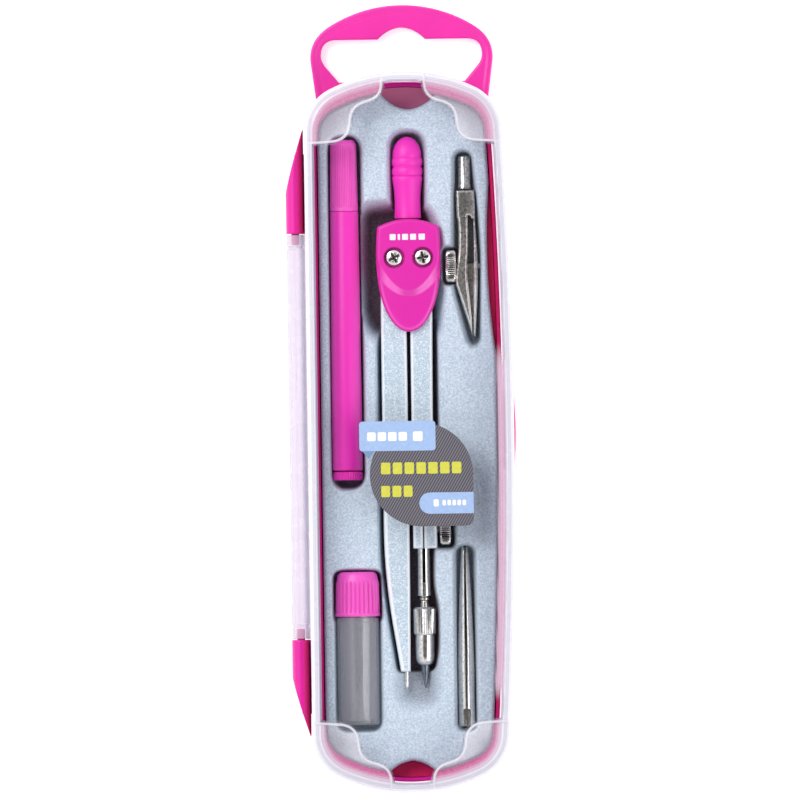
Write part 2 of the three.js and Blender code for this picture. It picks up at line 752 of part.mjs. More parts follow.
place('ruling_pen_body', penBody(), nickel);
place('ruling_pen_fixed_blade', fixedBlade(), nickel);
place('ruling_pen_spring_blade', springBlade(), nickel);
place('ruling_pen_screw', knurledScrew([11.3, 14], 4, [13.5, 20.3], 0.85, 32.9), nickel);

place('handle_tube_cap', handleCap(), pink);
place('handle_tube_barrel', handleBarrel(), pink);
place('handle_tube_end_plug', handlePlug(), pink);

place('spare_lead_tube', containerTube(), clear);
place('spare_lead_cap', containerCap(), pink);
spareLeads.forEach(({ name, x, z, span }) => {
  place(name, rod(1, ...span, containerX + x, bedZ + z, 12), graphite);
});
place('rolled_sleeve', rolledSleeve(), nickel);

export default assembly;
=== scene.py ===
import json
import math
import bmesh
import bpy
import numpy as np
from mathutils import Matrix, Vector


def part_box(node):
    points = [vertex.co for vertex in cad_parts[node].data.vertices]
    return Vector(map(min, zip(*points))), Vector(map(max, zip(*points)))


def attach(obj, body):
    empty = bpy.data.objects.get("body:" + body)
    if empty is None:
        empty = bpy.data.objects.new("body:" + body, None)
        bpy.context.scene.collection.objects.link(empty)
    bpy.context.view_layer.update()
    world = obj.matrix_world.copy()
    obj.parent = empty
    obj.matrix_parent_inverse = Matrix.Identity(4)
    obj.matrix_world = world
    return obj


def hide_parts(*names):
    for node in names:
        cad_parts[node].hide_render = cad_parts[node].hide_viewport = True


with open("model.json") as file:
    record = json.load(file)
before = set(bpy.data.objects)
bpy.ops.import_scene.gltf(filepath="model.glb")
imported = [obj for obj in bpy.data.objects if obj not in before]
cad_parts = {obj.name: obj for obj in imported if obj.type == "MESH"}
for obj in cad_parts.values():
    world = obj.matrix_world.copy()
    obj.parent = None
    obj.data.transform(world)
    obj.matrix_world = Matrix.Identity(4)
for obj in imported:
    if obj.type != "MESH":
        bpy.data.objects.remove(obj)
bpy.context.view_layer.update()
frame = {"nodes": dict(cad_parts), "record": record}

# A drafting instrument case, seen from above: magenta base, clear lid, flocked tray and the
# instruments in it. Lengths here are millimetres; mesh_piece turns them into metres. A finish is
# the name of a material slot with the material that shows it.

MM = 0.001


# ---------------- places from the frame


def span(node):
    """Lowest and highest corners of a CAD node, in millimetres."""
    low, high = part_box(node)
    return np.array(low) / MM, np.array(high) / MM


def centre(node):
    low, high = span(node)
    return (low + high) / 2


LID_LOW, LID_HIGH = span("lid")
BASE_LOW, BASE_HIGH = span("case_base")
HINGE = next(j for j in frame["record"]["behaviour"]["joints"] if j["name"] == "lid_hinge")
HINGE_X = HINGE["pos_m"][0] / MM
HINGE_Z = HINGE["pos_m"][2] / MM
HINGE_R = HINGE_X - BASE_LOW[0]
LID_LEFT = HINGE_X + HINGE_R + 0.2
LID_RIGHT = LID_HIGH[0]
LID_Y = (LID_LOW[1] + LID_HIGH[1]) / 2
LID_HALF = (LID_HIGH[1] - LID_LOW[1]) / 2
LID_X = 1.3
LID_TOP = LID_HIGH[2]
LID_SKIRT = 9.0
LID_WALL = 1.6
TRAY_TOP = span("insert_tray")[1][2]
BED = centre("compass_grip")[2]
COMPASS_X = centre("compass_grip")[0]
HOLDER_X = centre("lead_chuck_nut")[0]
HANDLE_X = centre("handle_tube_cap")[0]
CONTAINER_X = centre("spare_lead_cap")[0]
SLEEVE_X = centre("rolled_sleeve")[0]
CROWN_R = 42.0
CORNER_R = 12.0
BULGE_R = 1365.0
BASE_INSET = (2.1, 2.8, 2.7)  # left, right and ends, in from the lid's outline
TRAY_INSET = (3.4, 4.1, 4.8)
TRAY_BAY = (221.8, 38, 200)  # the shallow bay beside the pen: centre and radius
LOOP_X = 1.1
LATCH = (-15.7, -0.8)  # low and high ends of the lid's latch tab
LATCH_X = (26.4, 27.7)
BARREL = (-59.6, 41.2)  # low and high ends of the lid's hinge barrel
EAR_GAP = 0.3
EAR_TOP = (BARREL[1] + EAR_GAP, 68.0)  # each ear's end at the barrel, then its far end
EAR_BOTTOM = (BARREL[0] - EAR_GAP, -84.5)


# ---------------- outlines


def arc(cx, cy, radius, start, end, steps):
    angles = np.linspace(start, end, steps)
    return [(cx + radius * math.cos(a), cy + radius * math.sin(a)) for a in angles]


def bend(start, control, end, steps=8):
    """Points of a quadratic curve, without its start."""
    points = []
    for t in np.linspace(0, 1, steps + 1)[1:]:
        a, b, c = (1 - t) ** 2, 2 * t * (1 - t), t * t
        points.append((a * start[0] + b * control[0] + c * end[0],
                       a * start[1] + b * control[1] + c * end[1]))
    return points


def cubic(start, c1, c2, end, steps=16):
    points = []
    for t in np.linspace(0, 1, steps + 1)[1:]:
        w = ((1 - t) ** 3, 3 * t * (1 - t) ** 2, 3 * t * t * (1 - t), t ** 3)
        ends = (start, c1, c2, end)
        points.append(tuple(sum(w[k] * ends[k][i] for k in range(4)) for i in range(2)))
    return points


def filleted(corners, closed=True, steps=6):
    """A path through corners (x, y, fillet), each rounded by its fillet length."""
    points = []
    count = len(corners)
    for i, corner in enumerate(corners):
        x, y = corner[:2]
        fillet = corner[2] if len(corner) > 2 else 0
        if not fillet or (not closed and i in (0, count - 1)):
            points.append((x, y))
            continue
        sides = []
        for other in (corners[i - 1], corners[(i + 1) % count]):
            length = math.hypot(other[0] - x, other[1] - y)
            share = fillet / length
            sides.append((x + (other[0] - x) * share, y + (other[1] - y) * share))
        points.append(sides[0])
        points.extend(bend(sides[0], (x, y), sides[1], steps))
    return points


def rectangle(x, y, fillet):
    return filleted([(x[0], y[0], fillet), (x[1], y[0], fillet), (x[1], y[1], fillet), (x[0], y[1], fillet)])


def meeting(a, ra, b, rb):
    """The point at distance ra from a and rb from b, on the side of larger x + y."""
    d = math.hypot(b[0] - a[0], b[1] - a[1])
    along = (ra * ra - rb * rb + d * d) / (2 * d)
    off = math.sqrt(ra * ra - along * along)
    ux, uy = (b[0] - a[0]) / d, (b[1] - a[1]) / d
    found = [(a[0] + ux * along - s * uy * off, a[1] + uy * along + s * ux * off) for s in (1, -1)]
    return max(found, key=sum)


def case_outline(inset, steps=24):
    """The case in plan, in from the lid's edge by (left, right, end)."""
    at_left, at_right, at_end = inset
    crown, corner = CROWN_R - at_end, CORNER_R - at_end
    side = BULGE_R - at_right
    crown_y = LID_HALF - at_end - crown
    side_x = LID_RIGHT - at_right - side
    left_x = LID_LEFT + at_left + corner
    left_y = crown_y + math.sqrt((crown - corner) ** 2 - (LID_X - left_x) ** 2)
    right_x, right_y = meeting((LID_X, crown_y), crown - corner, (side_x, 0), side - corner)
    side_angle = math.atan2(right_y, right_x - side_x)
    right_angle = math.atan2(right_y - crown_y, right_x - LID_X)
    left_angle = math.atan2(left_y - crown_y, left_x - LID_X)
    half_turn = math.pi
    arcs = [
        (side_x, LID_Y, side, -side_angle, side_angle),
        (right_x, LID_Y + right_y, corner, side_angle, right_angle),
        (LID_X, LID_Y + crown_y, crown, right_angle, left_angle),
        (left_x, LID_Y + left_y, corner, left_angle, half_turn),
        (left_x, LID_Y - left_y, corner, half_turn, 2 * half_turn - left_angle),
        (LID_X, LID_Y - crown_y, crown, -left_angle, -right_angle),
        (right_x, LID_Y - right_y, corner, -right_angle, -side_angle),
    ]
    points = []
    for shape in arcs:
        points.extend(arc(*shape, steps)[1:])
    return points


def grown(inset, margin):
    return tuple(value + margin for value in inset)


# ---------------- distance fields


def polygon_distance(points):
    """A function of x and y giving the signed distance to a closed outline, negative inside."""
    a = np.array(points, dtype=float)
    a = a[np.hypot(*(a - np.roll(a, -1, 0)).T) > 1e-6]
    b = np.roll(a, -1, 0)
    ex, ey = (b - a).T
    steep = np.where(ey == 0, 1e-9, ey)

    def part(x, y):
        wx, wy = x[:, None] - a[:, 0], y[:, None] - a[:, 1]
        t = np.clip((wx * ex + wy * ey) / (ex * ex + ey * ey), 0, 1)
        squared = ((wx - ex * t) ** 2 + (wy - ey * t) ** 2).min(1)
        crossed = ((a[:, 1] <= y[:, None]) != (b[:, 1] <= y[:, None])) & (wx < ex * wy / steep)
        return np.where(crossed.sum(1) % 2 == 1, -1, 1) * np.sqrt(squared)

    def distance(x, y):
        flat_x, flat_y = np.ravel(x), np.ravel(y)
        chunk = 5000
        parts = [part(flat_x[i:i + chunk], flat_y[i:i + chunk]) for i in range(0, flat_x.size, chunk)]
        return np.concatenate(parts).reshape(np.shape(x))

    return distance


def path_distance(points):
    """Unsigned distance to an open path."""
    a, b = np.array(points[:-1], dtype=float), np.array(points[1:], dtype=float)
    ex, ey = (b - a).T

    def distance(x, y):
        best = np.full(np.shape(x), 1e9)
        for (ax, ay), dx, dy in zip(a, ex, ey):
            t = np.clip(((x - ax) * dx + (y - ay) * dy) / (dx * dx + dy * dy), 0, 1)
            best = np.minimum(best, np.hypot(x - ax - dx * t, y - ay - dy * t))
        return best

    return distance


def circle_distance(cx, cy, radius):
    return lambda x, y: np.hypot(x - cx, y - cy) - radius


def outside_of(field, *holes):
    """field with the inside of each hole taken away."""
    return lambda x, y: np.maximum.reduce([field(x, y)] + [-hole(x, y) for hole in holes])


def either(*fields):
    return lambda x, y: np.minimum.reduce([field(x, y) for field in fields])


def smooth(t):
    t = np.clip(t, 0, 1)
    return t * t * (3 - 2 * t)


def rounding(distance, radius):
    """How far a rounded edge has dropped at this distance in from it."""
    inward = np.clip(radius + distance, 0, radius)
    return radius - np.sqrt(radius * radius - inward * inward)


# ---------------- mesh making


def mesh_piece(name, vertices, faces, body, finish, sharp=40, replaces=()):
    slot, material = finish
    mesh = bpy.data.meshes.new(name)
    mesh.from_pydata((np.asarray(vertices, dtype=float) * MM).tolist(), [], faces)
    piece = bpy.data.objects.new(name, mesh)
    bpy.context.collection.objects.link(piece)
    tidy = bmesh.new()
    tidy.from_mesh(mesh)
    bmesh.ops.remove_doubles(tidy, verts=tidy.verts, dist=1e-7)
    bmesh.ops.recalc_face_normals(tidy, faces=tidy.faces)
    tidy.to_mesh(mesh)
    tidy.free()
    mesh.polygons.foreach_set("use_smooth", [True] * len(mesh.polygons))
    mesh.set_sharp_from_angle(angle=math.radians(sharp))
    mesh.materials.append(material)
    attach(piece, body)
    if replaces:
        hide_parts(*replaces)
    return piece


def relief_mesh(field, height, floor, bounds, step, closed=True):
    """A block whose plan is where field < 0 and whose top is height(x, y, distance)."""
    (x0, x1), (y0, y1) = bounds
    xs = np.linspace(x0, x1, int((x1 - x0) / step) + 2)
    ys = np.linspace(y0, y1, int((y1 - y0) / step) + 2)
    x, y = np.meshgrid(xs, ys)
    d = field(x, y)
    used = (d[:-1, :-1] + d[1:, :-1] + d[:-1, 1:] + d[1:, 1:]) < 0
    around = np.zeros(x.shape, dtype=int)
    for rows, columns in ((slice(0, -1), slice(0, -1)), (slice(1, None), slice(0, -1)),
                          (slice(0, -1), slice(1, None)), (slice(1, None), slice(1, None))):
        around[rows, columns] += used
    edge = (around > 0) & (around < 4)
    slope_y, slope_x = np.gradient(d, ys, xs)
    size = np.maximum(np.hypot(slope_x, slope_y), 1e-3)
    slope_x, slope_y = slope_x[edge] / size[edge], slope_y[edge] / size[edge]
    for _ in range(2):
        off = np.clip(field(x[edge], y[edge]), -step, step)
        x[edge] -= off * slope_x
        y[edge] -= off * slope_y
    d = field(x, y)
    z = np.zeros(x.shape) + height(x, y, np.where(edge, 0.0, np.minimum(d, 0)))
    keep = around > 0
    index = np.full(x.shape, -1)
    index[keep] = np.arange(keep.sum())
    top = np.stack([x[keep], y[keep], z[keep]], 1)
    row, column = np.nonzero(used)
    quads = np.stack([index[row, column], index[row, column + 1],
                      index[row + 1, column + 1], index[row + 1, column]], 1)
    faces = quads.tolist()
    padded = np.pad(used, 1)
    count = len(top)
    for side, (dr, dc) in enumerate(((-1, 0), (0, 1), (1, 0), (0, -1))):
        bare = ~padded[1 + dr:padded.shape[0] - 1 + dr, 1 + dc:padded.shape[1] - 1 + dc] & used
        r, c = np.nonzero(bare)
        corners = ((r, c), (r, c + 1), (r + 1, c + 1), (r + 1, c))
        start, end = corners[side], corners[(side + 1) % 4]
        first, second = index[start], index[end]
        faces.extend(np.stack([second, first, first + count, second + count], 1).tolist())
    bottom = top.copy()
    bottom[:, 2] = floor
    if closed:
        faces.extend((quads[:, ::-1] + count).tolist())
    return np.concatenate([top, bottom]), faces


def around(points, margin):
    """The bounds of these points, grown by a margin."""
    xs, ys = zip(*[point[:2] for point in points])
    return (min(xs) - margin, max(xs) + margin), (min(ys) - margin, max(ys) + margin)


def drop_unused(vertices, faces):
    used = sorted({v for face in faces for v in face})
    index = {old: new for new, old in enumerate(used)}
    return vertices[used], [[index[v] for v in face] for face in faces]


def relief(name, field, height, floor, bounds, step, closed=True, **look):
    vertices, faces = relief_mesh(field, height, floor, bounds, step, closed)
    return mesh_piece(name, *drop_unused(vertices, faces), **look)


def lofted(rings, cap_first=True, cap_last=True):
    """Joins closed rings of equally many points [(x, y, z)...]."""
    count = len(rings[0])
    vertices = np.concatenate([np.asarray(ring, dtype=float) for ring in rings])
    faces = []
    for k in range(len(rings) - 1):
        for i in range(count):
            j = (i + 1) % count
            faces.append((k * count + i, k * count + j, (k + 1) * count + j, (k + 1) * count + i))
    if cap_first:
        faces.append(tuple(range(count))[::-1])
    if cap_last:
        faces.append(tuple(range((len(rings) - 1) * count, len(rings) * count)))
    return vertices, faces


def turned_rings(profile, x, z, sides, ripple=None, along="y"):
    rings = []
    for radius, place in profile:
        ring = []
        for i in range(sides):
            angle = 2 * math.pi * i / sides
            r = max(radius + (ripple(angle, place) if ripple else 0), 0.001)
            across, up = r * math.cos(angle), r * math.sin(angle)
            ring.append((x + across, place, z + up) if along == "y" else (place, x + across, z + up))
        rings.append(ring)
    return rings


def turned(name, profile, x, z=None, sides=72, ripple=None, along="y", **look):
    """A piece turned about an axis along Y, or along X with x giving the axis's Y."""
    rings = turned_rings(profile, x, BED if z is None else z, sides, ripple, along)
    return mesh_piece(name, *lofted(rings), **look)


def rolled(name, profile, x, gap_at, wall, sides=56, **look):
    """A tube of sheet with a lengthwise gap along its top. gap_at gives the gap's width at y."""
    rows = len(profile)
    vertices = []
    for thickness in (0, wall):
        for radius, y in profile:
            r = max(radius - thickness, 0.02)
            half = math.asin(min(gap_at(y) / 2 / max(r, 0.05), 0.95))
            for i in range(sides + 1):
                angle = math.pi / 2 + half + (2 * math.pi - 2 * half) * i / sides
                vertices.append((x + r * math.cos(angle), y, BED + r * math.sin(angle)))
    width = sides + 1
    layer = rows * width
    faces = []
    for k in range(rows - 1):
        for i in range(sides):
            a, b, c, d = (k * width + i, k * width + i + 1, (k + 1) * width + i + 1, (k + 1) * width + i)
            faces.append((a, b, c, d))
            faces.append((d + layer, c + layer, b + layer, a + layer))
        for i in (0, sides):
            a, b = k * width + i, (k + 1) * width + i
            faces.append((a, b, b + layer, a + layer))
    for k in (0, rows - 1):
        for i in range(sides):
            a = k * width + i
            faces.append((a, a + 1, a + 1 + layer, a + layer))
    return mesh_piece(name, vertices, faces, **look)


def ribs(count, depth, low=-1e9, high=1e9, sharpness=1.0):
    """A ripple for turned: count even grooves of this depth between two places."""
    def ripple(angle, place):
        if not low <= place <= high:
            return 0
        wave = 0.5 - 0.5 * math.cos(count * angle)
        return -depth * wave ** sharpness
    return ripple


def in_grooves(count, strength, x, low, high):
    """For painted shade: high in the grooves that ribs cuts about an axis along Y, between low and high."""
    def amount(px, py, pz):
        wave = 0.5 - 0.5 * np.cos(count * np.arctan2(pz - BED, px - x))
        return strength * wave * (py > low) * (py < high)
    return amount


def paint(piece, name, amount):
    """Stores amount(x, y, z), from 0 to 1 over the piece, where a material can read it."""
    mesh = piece.data
    places = np.empty(len(mesh.vertices) * 3)
    mesh.vertices.foreach_get("co", places)
    values = np.zeros(len(mesh.vertices)) + amount(*(places.reshape(-1, 3).T / MM))
    layer = mesh.attributes.new(name, "FLOAT", "POINT")
    layer.data.foreach_set("value", values.astype(np.float32))
    return piece


def box_piece(name, x, y, z, edge=0.15, **look):
    field = polygon_distance(rectangle(x, y, min(edge * 2, (x[1] - x[0]) / 3)))
    bounds = around(zip(x, y), 0.3)
    step = max(0.15, min(x[1] - x[0], y[1] - y[0]) / 8)
    return relief(name, field, lambda px, py, d: z[1] - rounding(d, edge), z[0], bounds, step, **look)


# ---------------- materials


class Nodes:
    """A short way to write a material's node tree. An input i0 is socket 0, IOR is socket "IOR"."""

    def __init__(self, name):
        self.material = bpy.data.materials.new(name)
        self.material.use_nodes = True
        self.tree = self.material.node_tree
        self.shader = self.tree.nodes["Principled BSDF"]
        self.output = self.tree.nodes["Material Output"]

    def add(self, kind, settings=None, **inputs):
        node = self.tree.nodes.new(kind)
        for key, value in (settings or {}).items():
            setattr(node, key, value)
        for key, value in inputs.items():
            numbered = key[0] == "i" and key[1:].isdigit()
            self.put(node, int(key[1:]) if numbered else key.replace("_", " "), value)
        return node

    def put(self, node, socket, value):
        target = node.inputs[socket]
        if isinstance(value, bpy.types.NodeSocket):
            self.tree.links.new(value, target)
        else:
            target.default_value = value

    def set(self, **inputs):
        for key, value in inputs.items():
            self.put(self.shader, key.replace("_", " "), value)

    def place(self):
        return self.add("ShaderNodeTexCoord").outputs["Object"]

    def noise(self, scale, detail=2.0, rough=0.5, stretch=(1, 1, 1)):
        mapping = self.add("ShaderNodeMapping", Vector=self.place(), Scale=stretch)
        node = self.add("ShaderNodeTexNoise", Vector=mapping.outputs[0], Scale=scale, Detail=detail,
                        Roughness=rough)
        return node.outputs["Fac"]

    def painted(self, name):
        """What paint stored on the mesh under this name."""
        return self.add("ShaderNodeAttribute", {"attribute_name": name}).outputs["Fac"]

    def ramp(self, factor, stops):
        node = self.add("ShaderNodeValToRGB", Fac=factor)
        points = node.color_ramp.elements
        while len(points) < len(stops):
            points.new(0.5)
        for point, (position, colour) in zip(points, stops):
            point.position = position
            point.color = (*colour, 1)
        return node.outputs[0]

    def scale_to(self, factor, low, high):
        node = self.add("ShaderNodeMapRange", Value=factor, i3=low, i4=high)
        return node.outputs[0]

    def math(self, operation, a, b=0.0):
        node = self.add("ShaderNodeMath", {"operation": operation, "use_clamp": True}, i0=a, i1=b)
        return node.outputs[0]

    def bump(self, heightmap, strength, distance):
        node = self.add("ShaderNodeBump", Height=heightmap, Strength=strength, Distance=distance)
        self.set(Normal=node.outputs[0])

    def mix(self, factor, a, b):
        node = self.add("ShaderNodeMix", {"data_type": "RGBA"})
        self.put(node, 0, factor)
        self.put(node, 6, a)
        self.put(node, 7, b)
        return node.outputs[2]


def shade(colour, factor):
    return tuple(min(1.0, c * factor) for c in colour)


def with_painted_light_and_shade(n, colour, light, dark):
    """colour with painted light and shade: paler where the mesh's painted highlight value is high, darker
    where its painted shade value is high.
    """
    for name, tone in (("painted_light", light), ("painted_shade", dark)):
        colour = n.mix(n.painted(name), colour, (*tone, 1))
    return colour


def moulded_plastic(name, colour, rough=0.32, pale=(0.95, 0.16, 0.62), shade_tone=(0.08, 0.0, 0.03)):
    """Injection-moulded plastic: faint flow marks and a fine satin skin, with painted highlights in its pale
    tone and painted shade in its dark tone.
    """
    n = Nodes(name)
    flow = n.noise(90, 3, 0.55, (1, 0.3, 1))
    tone = n.ramp(flow, [(0.3, shade(colour, 0.95)), (0.7, shade(colour, 1.04))])
    n.set(Base_Color=with_painted_light_and_shade(n, tone, pale, shade_tone))
    n.set(Roughness=n.scale_to(n.noise(700, 2), rough - 0.04, rough + 0.06), IOR=1.49)
    n.bump(n.noise(4200, 1), 0.05, 0.00002)
    return n.material


def flocked_sheet():
    """Short flock on formed sheet: grainy and matt, with painted shade down in the pockets and painted light
    on the paler parts of the tray.
    """
    n = Nodes("flocked_sheet")
    grain = n.noise(2200, 3, 0.75)
    fibre = n.ramp(grain, [(0.30, (0.40, 0.49, 0.57)), (0.5, (0.58, 0.68, 0.78)), (0.70, (0.80, 0.88, 0.94))])
    shaded = n.ramp(grain, [(0.3, (0.055, 0.032, 0.050)), (0.7, (0.17, 0.125, 0.16))])
    lit = n.ramp(grain, [(0.3, (0.74, 0.82, 0.90)), (0.7, (1.0, 1.0, 1.0))])
    n.set(Base_Color=n.mix(n.painted("painted_shade"), n.mix(n.painted("painted_light"), fibre, lit), shaded))
    n.set(Roughness=n.scale_to(grain, 0.85, 1.0), Sheen_Weight=0.1, Sheen_Roughness=0.5)
    n.put(n.shader, "Specular IOR Level", 0.1)
    n.bump(grain, 0.8, 0.00014)
    return n.material


def silver_paint():
    """Silver lacquer with fine flakes."""
    n = Nodes("silver_paint")
    flakes = n.add("ShaderNodeTexVoronoi", Vector=n.place(), Scale=4000)
    tone = n.add("ShaderNodeSeparateColor", Color=flakes.outputs["Color"]).outputs[0]
    silver = n.ramp(tone, [(0.0, (0.46, 0.57, 0.66)), (0.6, (0.58, 0.70, 0.79)), (1.0, (0.82, 0.90, 0.96))])
    # Painted highlight on the bevels and painted shade, mixed into the silver.
    n.set(Base_Color=with_painted_light_and_shade(n, silver, (0.97, 0.98, 1.0), (0.03, 0.03, 0.04)))
    n.set(Metallic=0.15, Roughness=n.scale_to(tone, 0.38, 0.6))
    n.bump(tone, 0.3, 0.00004)
    return n.material


def plated_metal(name, colour, rough=0.16, worn=0.45):
    """Bright plating with drawn streaks and dull spots."""
    n = Nodes(name)
    streak = n.noise(900, 3, 0.6, (1, 0.08, 1))
    spots = n.noise(1300, 4, 0.75)
    plate = n.ramp(spots, [(0.34, shade(colour, worn)), (0.52, colour), (0.7, shade(colour, 1.12))])
    # Painted highlight and painted shade (in grooves, recesses and seams), mixed into the plating.
    n.set(Base_Color=with_painted_light_and_shade(n, plate, (0.95, 0.94, 0.92), (0.02, 0.015, 0.012)))
    n.set(Metallic=1.0, Roughness=n.scale_to(streak, rough - 0.06, rough + 0.16))
    n.bump(spots, 0.35, 0.00006)
    return n.material


def graphite():
    n = Nodes("graphite")
    grain = n.noise(2600, 2, 0.6, (1, 0.4, 1))
    n.set(Base_Color=n.ramp(grain, [(0.3, (0.10, 0.12, 0.15)), (0.7, (0.26, 0.29, 0.33))]))
    n.set(Metallic=0.85, Roughness=n.scale_to(grain, 0.22, 0.4))
    n.bump(grain, 0.2, 0.00004)
    return n.material


def see_through(name, tint, milk_colour, milk_low, milk_edge, rough=0.06, mirror=1.25, frost=False):
    """Thin clear plastic: passes light straight, mirrors at grazing angles, milky at its edges."""
    n = Nodes(name)
    clear = n.add("ShaderNodeBsdfTransparent", Color=(*tint, 1))
    facing = n.add("ShaderNodeLayerWeight", Blend=0.5).outputs["Facing"]
    edge = n.math("POWER", facing, 2.2)
    milk = n.math("ADD", n.math("MULTIPLY", edge, milk_edge), milk_low)
    cloud = n.noise(260, 2)
    colour = n.ramp(cloud, [(0.3, shade(milk_colour, 0.96)), (0.7, milk_colour)])
    if frost:
        lines = n.add("ShaderNodeTexNoise", {"noise_dimensions": "1D"}, W=n.painted("depth"), Scale=2.3,
                      Detail=2.0).outputs["Fac"]
        streak = n.scale_to(lines, 0.82, 1.12)
        colour = n.ramp(lines, [(0.35, shade(milk_colour, 0.82)), (0.65, shade(milk_colour, 1.08))])
        milk = n.math("ADD", milk, n.math("MULTIPLY", n.painted("frost"), streak))
        # Painted magenta tint: the base's colour showing through the frost, painted into the milk.
        speckle = n.scale_to(n.noise(1500, 2), 0.7, 1.2)
        colour = n.mix(n.math("MULTIPLY", n.painted("painted_show_through"), speckle), colour, (0.62, 0.09, 0.30, 1))
    n.set(Base_Color=colour)
    n.set(Roughness=n.scale_to(cloud, rough + 0.16, rough + 0.26), IOR=1.49)
    n.bump(n.noise(150, 1), 0.02, 0.00002)
    gloss = n.add("ShaderNodeBsdfGlossy", Roughness=rough)
    straight = ((mirror - 1) / (mirror + 1)) ** 2
    shine = n.math("ADD", n.math("MULTIPLY", n.math("POWER", facing, 5.0), 1 - straight), straight)
    glazed = n.add("ShaderNodeMixShader", i0=shine, i1=clear.outputs[0], i2=gloss.outputs[0])
    whole = n.add("ShaderNodeMixShader", i0=milk, i1=glazed.outputs[0], i2=n.shader.outputs[0])
    n.put(n.output, "Surface", whole.outputs[0])
    return n.material


def printed_film(name, colour, hatch=None):
    """Satin label film, plain or printed with a fine diagonal hatch."""
    n = Nodes(name)
    fleck = n.noise(1200, 2)
    plain = n.ramp(fleck, [(0.3, shade(colour, 0.94)), (0.7, shade(colour, 1.04))])
    if hatch:
        turn = n.add("ShaderNodeMapping", Vector=n.place(), Rotation=(0, 0, math.radians(30)))
        wave = n.add("ShaderNodeTexWave", {"bands_direction": "X"}, Vector=turn.outputs[0], Scale=520,
                     Distortion=0.3)
        plain = n.mix(wave.outputs["Fac"], (*hatch, 1), plain)
    n.set(Base_Color=plain, Roughness=n.scale_to(fleck, 0.35, 0.5))
    n.bump(n.noise(4000, 1), 0.05, 0.00002)
    return n.material


# The magenta moulding's painted shade tone is a deep crimson.
MAGENTA = "magenta_plastic", moulded_plastic(
    "magenta_moulding", (0.74, 0.006, 0.32), 0.36, shade_tone=(0.62, 0.002, 0.12))
# The same magenta plastic again, painted in the deeper crimson it takes in shade, for the ledge seen in the
# gaps.
MAGENTA_IN_SHADE = "magenta_plastic", moulded_plastic(
    "magenta_moulding_painted_shade", (0.80, 0.004, 0.15), 0.4, pale=(0.90, 0.30, 0.50))
PINK = "pink_plastic", moulded_plastic("pink_moulding", (0.76, 0.018, 0.40), 0.36)
TUBE_PINK = "pink_plastic", moulded_plastic("tube_moulding", (0.90, 0.026, 0.50), 0.42)
CAP_PINK = "pink_plastic", moulded_plastic("cap_moulding", (0.93, 0.10, 0.58), 0.34)
CLEAR = "clear_plastic", see_through(
    "clear_lid_plastic", (0.99, 0.99, 0.995), (0.74, 0.72, 0.82), 0.0, 0.28, mirror=1.2, frost=True)
BARREL_CLEAR = "clear_plastic", see_through(
    "clear_hinge_plastic", (0.97, 0.96, 0.99), (0.74, 0.73, 0.82), 0.42, 0.5)
TUBE_CLEAR = "clear_plastic", see_through(
    "clear_tube_plastic", (0.95, 0.95, 0.97), (0.74, 0.75, 0.80), 0.20, 0.4, 0.1, 1.9)
LINE_WHITE = "clear_plastic", see_through(
    "lid_step_plastic", (0.98, 0.98, 1.0), (0.90, 0.89, 0.95), 0.55, 0.3)
FLOCK = "flocked_tray", flocked_sheet()
SILVER = "silver_paint", silver_paint()
NICKEL = "nickel_plate", plated_metal("nickel_plating", (0.68, 0.65, 0.61), 0.24, 0.32)
BRIGHT = "nickel_plate", plated_metal("bright_plating", (0.90, 0.88, 0.85), 0.12, 0.75)
STEEL = "steel", plated_metal("steel_wire", (0.55, 0.55, 0.55), 0.22)
GRAPHITE = "graphite", graphite()
LABEL_DARK = "label_film", printed_film("label_hatched", (0.040, 0.035, 0.050), (0.19, 0.18, 0.21))
LABEL_BLUE = "label_film", printed_film("label_blue", (0.33, 0.46, 0.72))
LABEL_FOLD = "label_film", printed_film("label_fold", (0.17, 0.26, 0.46))
LABEL_YELLOW = "label_film", printed_film("label_yellow", (0.60, 0.58, 0.07))
LABEL_WHITE = "label_film", printed_film("label_white", (0.85, 0.86, 0.90))

BASE_LOOK = {"body": "case", "finish": MAGENTA}
LID_LOOK = {"body": "lid", "finish": CLEAR}
COMPASS = {"body": "compass"}
PEN = {"body": "ruling_pen", "finish": NICKEL}


# ---------------- base


def tray_field(margin=0.0):
    """Signed distance to the tray's outline, with its two scallops and its bay."""
    top = [(-8, 82), (-4.2, 75.8, 2.5), (0.2, 72.2, 3.2), (4.8, 72.2, 3.2), (9.4, 75.6, 2.5), (13, 82)]
    bottom = [(-8, -97), (-4.0, -92.6, 2.5), (-0.2, -90.4, 2.5), (3.2, -90.4, 2.5), (7.2, -92.8, 2.5),
              (11, -97)]
    notches = [polygon_distance(filleted(shape, steps=10)) for shape in (top, bottom)]
    whole = outside_of(polygon_distance(case_outline(TRAY_INSET)), *notches, circle_distance(*TRAY_BAY))
    return lambda x, y: whole(x, y) - margin


def base_shell():
    low = (0.9, 0.3, 0.0, 0.0, 0.25, 0.75, 1.0, 1.0, 1.25, 1.9)
    rim = BASE_HIGH[2] - 1.85
    heights = (0.0, 0.2, 0.8, rim - 0.3, rim, rim, rim - 0.3, 2.5, 1.85, 1.6)
    rings = []
    for inset, z in zip(low, heights):
        rings.append([(x, y, z) for x, y in case_outline(grown(BASE_INSET, inset))])
    shell = mesh_piece("base_shell", *lofted(rings), replaces=("case_base",), **BASE_LOOK)
    # Painted shade: the rim's top along the long sides darkened to crimson.
    paint(shell, "painted_shade", lambda x, y, z: smooth((z - 8.5) / 0.8) * smooth((78 - np.abs(y - LID_Y)) / 6))


